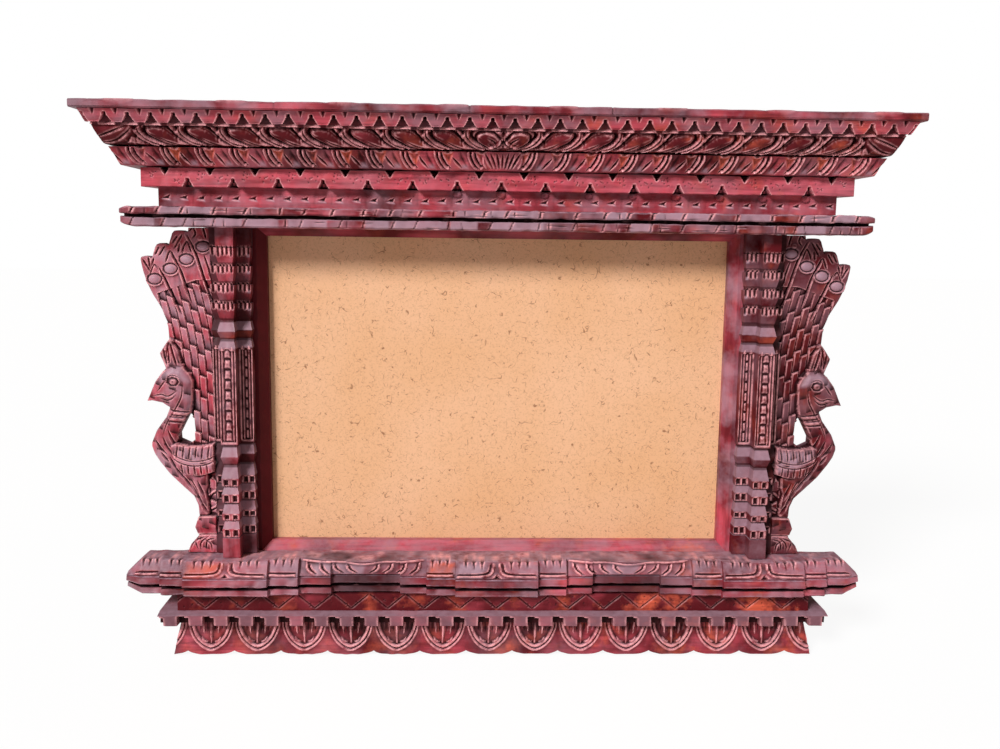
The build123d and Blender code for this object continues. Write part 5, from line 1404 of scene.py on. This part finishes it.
def bird_mesh(step):
    """The carved front of the bird's board, cut to its outline, with walls and a flat back."""
    relief = bird_relief(step)
    heights = np.minimum(relief.heights() + 0.25 * uneven(relief.u, relief.v, 4.0, 112), 26.95)
    u, v = relief.u, relief.v
    inside = np.minimum(inside_distance(BIRD_EDGE, u, v), -inside_distance(BIRD_HOLE, u, v))
    kept = inside > -0.45 * step
    cells = kept[:-1, :-1] & kept[:-1, 1:] & kept[1:, 1:] & kept[1:, :-1]
    index = np.arange(u.size).reshape(u.shape)
    quads = np.stack([index[:-1, :-1], index[:-1, 1:], index[1:, 1:], index[1:, :-1]], axis=-1)[cells]
    around = np.zeros(u.shape, int)
    for rows in (slice(None, -1), slice(1, None)):
        for columns in (slice(None, -1), slice(1, None)):
            around[rows, columns] += cells
    border = (around > 0) & (around < 4)
    near_u, near_v = nearest_on((BIRD_EDGE, BIRD_HOLE), u[border], v[border])
    u, v = u.copy(), v.copy()
    u[border], v[border] = near_u, near_v
    heights = np.where(border, heights - 0.3, heights)
    points = np.stack([BIRD_SIDE + u, -heights, SILL_TOP + v], axis=-1)
    mesh = mesh_of("bird", points, quads.tolist(), relief.marks(heights - relief.heights()))
    with opened(mesh) as work:
        bmesh.ops.delete(work, geom=[vert for vert in work.verts if not vert.link_faces], context="VERTS")
        wall = bmesh.ops.extrude_edge_only(work, edges=open_edges(work))["geom"]
        for vert in [item for item in wall if isinstance(item, bmesh.types.BMVert)]:
            vert.co.y = -BIRD_BACK * MM
            for layer in work.verts.layers.float.values():
                vert[layer] = 0
        bmesh.ops.triangle_fill(work, use_beauty=True, edges=open_edges(work))
    return mesh


def build_birds(settings):
    right = bird_mesh(settings.bird_grid / MM)
    left = right.copy()
    left.transform(Matrix.Scale(-1, 4, (1, 0, 0)))
    left.flip_normals()
    pale = settings.paint("bird", 0.1, 0.2, 0.75, 0.95, upright=True)
    dark = settings.paint("right_bird", 1.4, 0.25, 0.2, 0.5, upright=True)
    place(left, "bird_left", pale, "painted_wood", "left_peacock")
    place(right, "bird_right", dark, "painted_wood", "right_peacock")


# Finishes


def attribute(graph, name):
    return graph.node("ShaderNodeAttribute", {"attribute_name": name}, None, "Fac")


def new_material(name):
    """A material and its node tree, which is still empty."""
    material = bpy.data.materials.new(name)
    material.use_nodes = True
    return material, Graph(material.node_tree)


def finished(material, graph, inputs):
    """Closes a material with a Principled shader."""
    shader = graph.node("ShaderNodeBsdfPrincipled", None, inputs)
    graph.node("ShaderNodeOutputMaterial", None, {"Surface": shader})
    return material


def painted_wood(name, settings, grain, wear_and_sheen, ember, haze, dark):
    """Semi-gloss maroon over wood: redder and darker patches, worn edges with painted highlight, painted grey
    sky reflection on tops, paler patches, and painted shade in hollows.
    """
    material, graph = new_material(name)
    position = graph.position()
    seed = sum(map(ord, name)) * 0.013
    place_here = graph.moved(position, (seed, seed * 0.7, 0))
    rightward = graph.node("ShaderNodeSeparateXYZ", None, {0: position}, "X")
    normal = graph.node("ShaderNodeNewGeometry", None, None, "Normal")
    upward = graph.node("ShaderNodeSeparateXYZ", None, {0: normal}, "Z")
    hollow, edge, pale, warm = (attribute(graph, kind) for kind in ("hollow", "edge", "pale", "ember"))
    broad = graph.noise(place_here, 26, 3)
    patch = graph.noise(place_here, 55, 4, 0.6)
    fine = graph.noise(place_here, 420, 3, 0.6)
    streak = graph.noise(graph.stretched(place_here, grain), 1, 4, 0.62)
    wear_and_sheen_noise = graph.noise(place_here, 230, 4, 0.65)
    haze_here = graph.noise(place_here, 38, 4, 0.62)
    middle = 0.33 + 0.34 * dark
    colour = graph.mix(broad.ramp(middle - 0.14, middle + 0.14), settings.deep, settings.red)
    for share, layer in (
            ((patch.ramp(0.5, 0.7) * ember * (0.75 + 2.2 * rightward)).clamped(), settings.ember),
            (streak.ramp(0.42, 0.66) * 0.6, settings.deep),
            # painted sky reflection on faces that look up, broken up by noise
            (upward.ramp(0.2, 0.85) * wear_and_sheen_noise.ramp(0.25, 0.6) * wear_and_sheen, settings.lavender),
            (haze_here.ramp(0.42, 0.62) * haze, settings.lavender),
            # pale marks: paler paint, and in places painted light on lit faces and painted highlight
            (pale.clamped() * (0.45 + 0.5 * wear_and_sheen_noise), settings.lavender),
            (warm.clamped() * patch.ramp(0.35, 0.6) * 0.8, settings.ember),
            # painted shade in hollows, and painted shadow
            ((hollow * 0.93).clamped(), settings.recess),
            # worn edges, with painted highlight along the ridges
            ((edge * wear_and_sheen_noise.ramp(0.3, 0.55) * (0.2 + 0.75 * wear_and_sheen)).clamped(), settings.rubbed)):
        colour = graph.mix(share, colour, layer)
    bump = graph.node("ShaderNodeBump", None, {
        "Height": fine * 0.5 + streak * 0.8 + wear_and_sheen_noise * 0.4, "Strength": 0.35, "Distance": 0.0006})
    return finished(material, graph, {
        "Base Color": colour, "Roughness": 0.3 + 0.28 * wear_and_sheen_noise + 0.3 * hollow, "Normal": bump,
        "Specular IOR Level": 0.15, "Coat Weight": (0.04 + 0.22 * edge).clamped(), "Coat Roughness": 0.32})


def fibreboard(settings):
    """Pale board pressed from fibres, with short brown flecks."""
    material, graph = new_material("fibreboard")
    position = graph.position()
    speck = graph.noise(position, 900, 2, 0.7)
    colour = graph.mix(graph.noise(position, 14, 3).ramp(0.35, 0.65), settings.board_dark, settings.board)
    colour = graph.mix(speck.ramp(0.5, 0.8) * 0.35, colour, settings.fleck)
    for n, (scale, limit) in enumerate(((160, 0.56), (105, 0.6), (240, 0.55), (200, 0.57))):
        shifted = graph.moved(position, (n * 0.37, 0, n * 0.91))
        line = graph.noise(shifted, scale, 1.0)
        broken = graph.noise(shifted, scale * 1.7, 1.0)
        off = graph.node("ShaderNodeMath", {"operation": "ABSOLUTE"}, {0: line - 0.5})
        fibre = (1 - off * (scale * 0.55)).clamped()
        colour = graph.mix(fibre * broken.ramp(limit, limit + 0.04) * 0.85, colour, settings.fleck)
    bump = graph.node("ShaderNodeBump", None, {"Height": speck, "Strength": 0.2, "Distance": 0.0003})
    return finished(material, graph, {"Base Color": colour, "Roughness": 0.75, "Normal": bump})


def dull_steel():
    """Flat points cut from sheet steel, a little stained."""
    material, graph = new_material("dull_steel")
    stain = graph.noise(graph.position(), 300, 3)
    colour = graph.mix(stain, (0.32, 0.3, 0.29), (0.5, 0.47, 0.45))
    return finished(material, graph, {"Base Color": colour, "Roughness": 0.35 + 0.2 * stain, "Metallic": 1.0})


def finish_node(name, material):
    """Gives a frame node its finish through its material slots."""
    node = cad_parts[name]
    if not node.material_slots:
        node.data.materials.append(material)
    for slot in node.material_slots:
        slot.material = material


def finish_frame(settings):
    finish_node("top_rail", settings.paint("top_rail", 0.7, 0.3, 0.1))
    finish_node("bottom_rail", settings.paint("bottom_rail", 0.2, 1.5, 0.35, 0.3))
    # painted shade: the left stile's paint is darker than the right stile's, where the left post shades it
    finish_node("left_stile", settings.paint("left_stile", 1.4, 0.1, 0.0, upright=True))
    finish_node("right_stile", settings.paint("right_stile", 0.5, 0.2, 0.5, upright=True))
    finish_node("backing_board", fibreboard(settings.colours))
    finish_node("board_points", dull_steel())


# Stage


def stand(name, data):
    """Puts an object with some data into the scene."""
    made = bpy.data.objects.new(name, data)
    bpy.context.scene.collection.objects.link(made)
    return made


def build_stage(stage):
    reach, low = stage.floor_size / 2, -stage.floor_drop
    floor = bpy.data.meshes.new("floor")
    corners = [(-reach, -reach, low), (reach, -reach, low), (reach, reach, low), (-reach, reach, low)]
    floor.from_pydata(corners, [], [(0, 1, 2, 3)])
    material, graph = new_material("pale_floor")
    seen = graph.node("ShaderNodeLightPath", None, None, "Is Camera Ray")
    matte = graph.node("ShaderNodeBsdfDiffuse", None, {"Color": (0.9, 0.9, 0.9, 1)})
    bright = graph.node("ShaderNodeEmission", None, {"Color": (1, 1, 1, 1), "Strength": 1.04})
    shader = graph.node("ShaderNodeMixShader", None, {0: seen * 0.88, 1: matte, 2: bright})
    graph.node("ShaderNodeOutputMaterial", None, {"Surface": shader})
    floor.materials.append(material)
    ground = stand("floor", floor)

    world = bpy.data.worlds.new("studio")
    bpy.context.scene.world = world
    world.use_nodes = True
    graph = Graph(world.node_tree)
    camera_ray, glossy_ray, clear_ray = (
        graph.node("ShaderNodeLightPath", None, None, "Is %s Ray" % kind)
        for kind in ("Camera", "Glossy", "Transmission"))
    shown = (camera_ray + glossy_ray * 0.03 + clear_ray).clamped()
    sky = graph.node("ShaderNodeBackground", None, {
        "Color": graph.mix(shown, (1.0, 0.8, 0.7), (1, 1, 1)),
        "Strength": stage.fill + shown * (1 - stage.fill)})
    graph.node("ShaderNodeOutputWorld", None, {"Surface": sky})

    for name, azimuth, elevation, width, strength in (
            ("key", -33, 31, 16, stage.key_strength), ("side", 60, 15, 40, stage.side_strength)):
        light = bpy.data.lights.new(name, "SUN")
        light.angle = math.radians(width)
        light.energy = strength
        lamp = stand(name, light)
        a, e = math.radians(azimuth), math.radians(elevation)
        lamp.location = Vector((math.sin(a) * math.cos(e), -math.cos(a) * math.cos(e), math.sin(e)))
        lamp.rotation_euler = (-lamp.location).to_track_quat("-Z", "Y").to_euler()

    camera = bpy.data.cameras.new("camera")
    camera.sensor_width = 36.0
    camera.lens = 36.0
    holder = stand("camera", camera)
    yaw = Matrix.Rotation(-stage.camera_yaw, 4, "Z")
    pitch = Matrix.Rotation(math.pi / 2 - stage.camera_pitch, 4, "X")
    roll = Matrix.Rotation(stage.camera_roll, 4, "Z")
    holder.matrix_world = Matrix.Translation(stage.camera_place) @ (yaw @ pitch @ roll)
    bpy.context.scene.camera = holder
    bpy.context.scene.view_settings.view_transform = "Standard"


# The add-on


def srgb(red, green, blue):
    """A colour given as it looks on a screen, as Blender's linear numbers."""
    shares = [value / 255 for value in (red, green, blue)]
    return tuple(s / 12.92 if s <= 0.04045 else ((s + 0.055) / 1.055) ** 2.4 for s in shares)


def colour(name, description, *value):
    return bpy.props.FloatVectorProperty(
        name=name, description=description, subtype="COLOR", size=3, min=0, max=1, default=srgb(*value))


def number(name, description, value, unit="NONE"):
    return bpy.props.FloatProperty(name=name, description=description, default=value, unit=unit, precision=5)


def length(name, description, millimetres):
    return number(name, description, millimetres * MM, "LENGTH")


def angle(name, description, degrees):
    return number(name, description, math.radians(degrees), "ROTATION")


class WINDOW_PG_colours(bpy.types.PropertyGroup):
    red: colour("Red", "The paint where it is fresh", 194, 76, 90)
    deep: colour("Maroon", "The paint where it is thick", 84, 11, 20)
    # painted shade: the colour of shade in hollows and of painted shadows
    recess: colour("Hollows", "The paint and dust in the carving", 34, 2, 5)
    # painted sky reflection on faces that look up, and the colour of paler patches, some of them painted
    # light
    lavender: colour("Tops", "The paint on faces that look up", 170, 138, 152)
    # worn edges, and painted highlight along the ridges
    rubbed: colour("Rubbed edges", "Edges worn down to the ground coat", 244, 170, 174)
    ember: colour("Warm patches", "Patches where the wood shines through", 208, 92, 66)
    board: colour("Fibreboard", "The board in the opening", 226, 177, 138)
    board_dark: colour("Fibreboard clouds", "The board's darker clouds", 220, 168, 124)
    fleck: colour("Flecks", "The brown fibres in the board", 126, 76, 42)


class WINDOW_PG_carving(bpy.types.PropertyGroup):
    tooth_pitch: length("Tooth pitch", "The distance from one tooth of the top row to the next", 13.03)
    large_leaf_pitch: length("Large leaf pitch", "The distance from one large leaf to the next", 23.74)
    small_leaf_pitch: length("Small leaf pitch", "The distance from one small leaf to the next", 20.1)
    notch_pitch: length("Notch pitch", "The distance from one notch of the fascia to the next", 27.04)
    chip_pitch: length("Chip pitch", "The distance from one chip of the frieze to the next", 10.49)
    zigzag_pitch: length("Zigzag pitch", "The width of one zigzag", 23.44)
    dentil_pitch: length("Dentil pitch", "The distance from one square tooth to the next", 16.03)
    petal_pitch: length("Petal pitch", "The width of one petal of the skirt", 30.2)
    petal_shift: length("Petal shift", "How far the middle petal stands to the right", -4.2)
    bird_grid: length("Bird grid", "The distance between the points of the birds' carving", 0.38)


class WINDOW_PG_stage(bpy.types.PropertyGroup):
    floor_size: length("Floor", "Width of the floor", 12000)
    floor_drop: length("Floor drop", "How far the floor lies below the window", 0.4)
    key_strength: number("Key light", "Light from the upper left", 3.5)
    side_strength: number("Side light", "Light from the right", 0.1)
    fill: number("Fill", "Even light from all round", 0.16)
    camera_place: bpy.props.FloatVectorProperty(
        name="Camera", description="Where the camera stands", subtype="TRANSLATION", size=3,
        default=(-0.020, -0.656, 0.2763))
    camera_pitch: angle("Pitch", "How far the camera looks down", 8.13)
    camera_yaw: angle("Yaw", "How far the camera is turned to the right", 1.9)
    camera_roll: angle("Roll", "How far the camera is tilted", 0.75)


class Choices:
    """The sizes, colours and finishes that the pieces are made with."""

    def __init__(self, scene):
        self.sizes, self.colours = scene.window_carving, scene.window_colours

    def paint(self, name, dark=0.3, ember=0.4, haze=0.25, wear_and_sheen=0.7, upright=False):
        """A paint for one part of the window: darker, warmer, hazier, or with more wear and painted sheen
        than the others.
        """
        grain = (330, 260, 26) if upright else (26, 260, 330)
        return painted_wood("%s_paint" % name, self.colours, grain, wear_and_sheen, ember, haze, dark)

    def __getattr__(self, name):
        return getattr(self.sizes, name)


class PieceOperator:
    """Makes its pieces with the scene's sizes and colours."""

    bl_options = {"REGISTER", "UNDO"}
    makers = ()

    def execute(self, context):
        choices = Choices(context.scene)
        for make in self.makers:
            make(choices)
        return {"FINISHED"}


class WINDOW_OT_frame(PieceOperator, bpy.types.Operator):
    """Paint the frame of the opening and finish its board"""

    bl_idname = "window.frame"
    bl_label = "Frame and board"
    makers = (finish_frame,)


class WINDOW_OT_cornice(PieceOperator, bpy.types.Operator):
    """Carve the cap strip and the row of teeth under it"""

    bl_idname = "window.cornice"
    bl_label = "Cap and teeth"
    makers = (build_cap, build_teeth)


class WINDOW_OT_leaves(PieceOperator, bpy.types.Operator):
    """Carve both rows of leaves"""

    bl_idname = "window.leaves"
    bl_label = "Leaf rows"
    makers = (build_large_leaves, build_small_leaves)


class WINDOW_OT_fascia(PieceOperator, bpy.types.Operator):
    """Cut the notched fascia and the chipped frieze"""

    bl_idname = "window.fascia"
    bl_label = "Fascia and frieze"
    makers = (build_fascia, build_frieze)


class WINDOW_OT_ledge(PieceOperator, bpy.types.Operator):
    """Shape the ledge with its two lips"""

    bl_idname = "window.ledge"
    bl_label = "Ledge"
    makers = (build_ledge,)


class WINDOW_OT_posts(PieceOperator, bpy.types.Operator):
    """Carve both posts"""

    bl_idname = "window.posts"
    bl_label = "Posts"
    makers = (build_posts,)


class WINDOW_OT_birds(PieceOperator, bpy.types.Operator):
    """Carve the two pierced birds"""

    bl_idname = "window.birds"
    bl_label = "Birds"
    makers = (build_birds,)


class WINDOW_OT_sill(PieceOperator, bpy.types.Operator):
    """Carve the stepped sill"""

    bl_idname = "window.sill"
    bl_label = "Sill"
    makers = (build_sill,)


class WINDOW_OT_base(PieceOperator, bpy.types.Operator):
    """Carve the zigzag, the square teeth and the petals under the sill"""

    bl_idname = "window.base"
    bl_label = "Base rows"
    makers = (build_zigzag, build_dentils, build_petals)


class WINDOW_OT_stage(bpy.types.Operator):
    """Set up the floor, the lights and the camera"""

    bl_idname = "window.stage"
    bl_label = "Stage"

    def execute(self, context):
        build_stage(context.scene.window_stage)
        return {"FINISHED"}


PIECES = (WINDOW_OT_frame, WINDOW_OT_cornice, WINDOW_OT_leaves, WINDOW_OT_fascia, WINDOW_OT_ledge,
          WINDOW_OT_posts, WINDOW_OT_birds, WINDOW_OT_sill, WINDOW_OT_base, WINDOW_OT_stage)
GROUPS = {"window_colours": WINDOW_PG_colours, "window_carving": WINDOW_PG_carving,
          "window_stage": WINDOW_PG_stage}


class WINDOW_PT_pieces(bpy.types.Panel):
    """Lists the window's sizes, its colours and the pieces to make"""

    bl_idname = "WINDOW_PT_pieces"
    bl_label = "Carved window"
    bl_space_type = "VIEW_3D"
    bl_region_type = "UI"
    bl_category = "Carved window"

    def draw(self, context):
        for key, group in GROUPS.items():
            box = self.layout.box()
            for field in group.__annotations__:
                box.prop(getattr(context.scene, key), field)
        for piece in PIECES:
            self.layout.operator(piece.bl_idname)


def register():
    for group in GROUPS.values():
        bpy.utils.register_class(group)
    for key, group in GROUPS.items():
        setattr(bpy.types.Scene, key, bpy.props.PointerProperty(type=group))
    for piece in PIECES:
        bpy.utils.register_class(piece)
    bpy.utils.register_class(WINDOW_PT_pieces)


def unregister():
    bpy.utils.unregister_class(WINDOW_PT_pieces)
    for piece in reversed(PIECES):
        bpy.utils.unregister_class(piece)
    for key, group in GROUPS.items():
        delattr(bpy.types.Scene, key)
        bpy.utils.unregister_class(group)


def main():
    register()
    bpy.ops.window.frame()
    bpy.ops.window.cornice()
    bpy.ops.window.leaves()
    bpy.ops.window.fascia()
    bpy.ops.window.ledge()
    bpy.ops.window.posts()
    bpy.ops.window.birds()
    bpy.ops.window.sill()
    bpy.ops.window.base()
    bpy.ops.window.stage()
    bpy.context.view_layer.update()


if __name__ == "__main__":
    main()
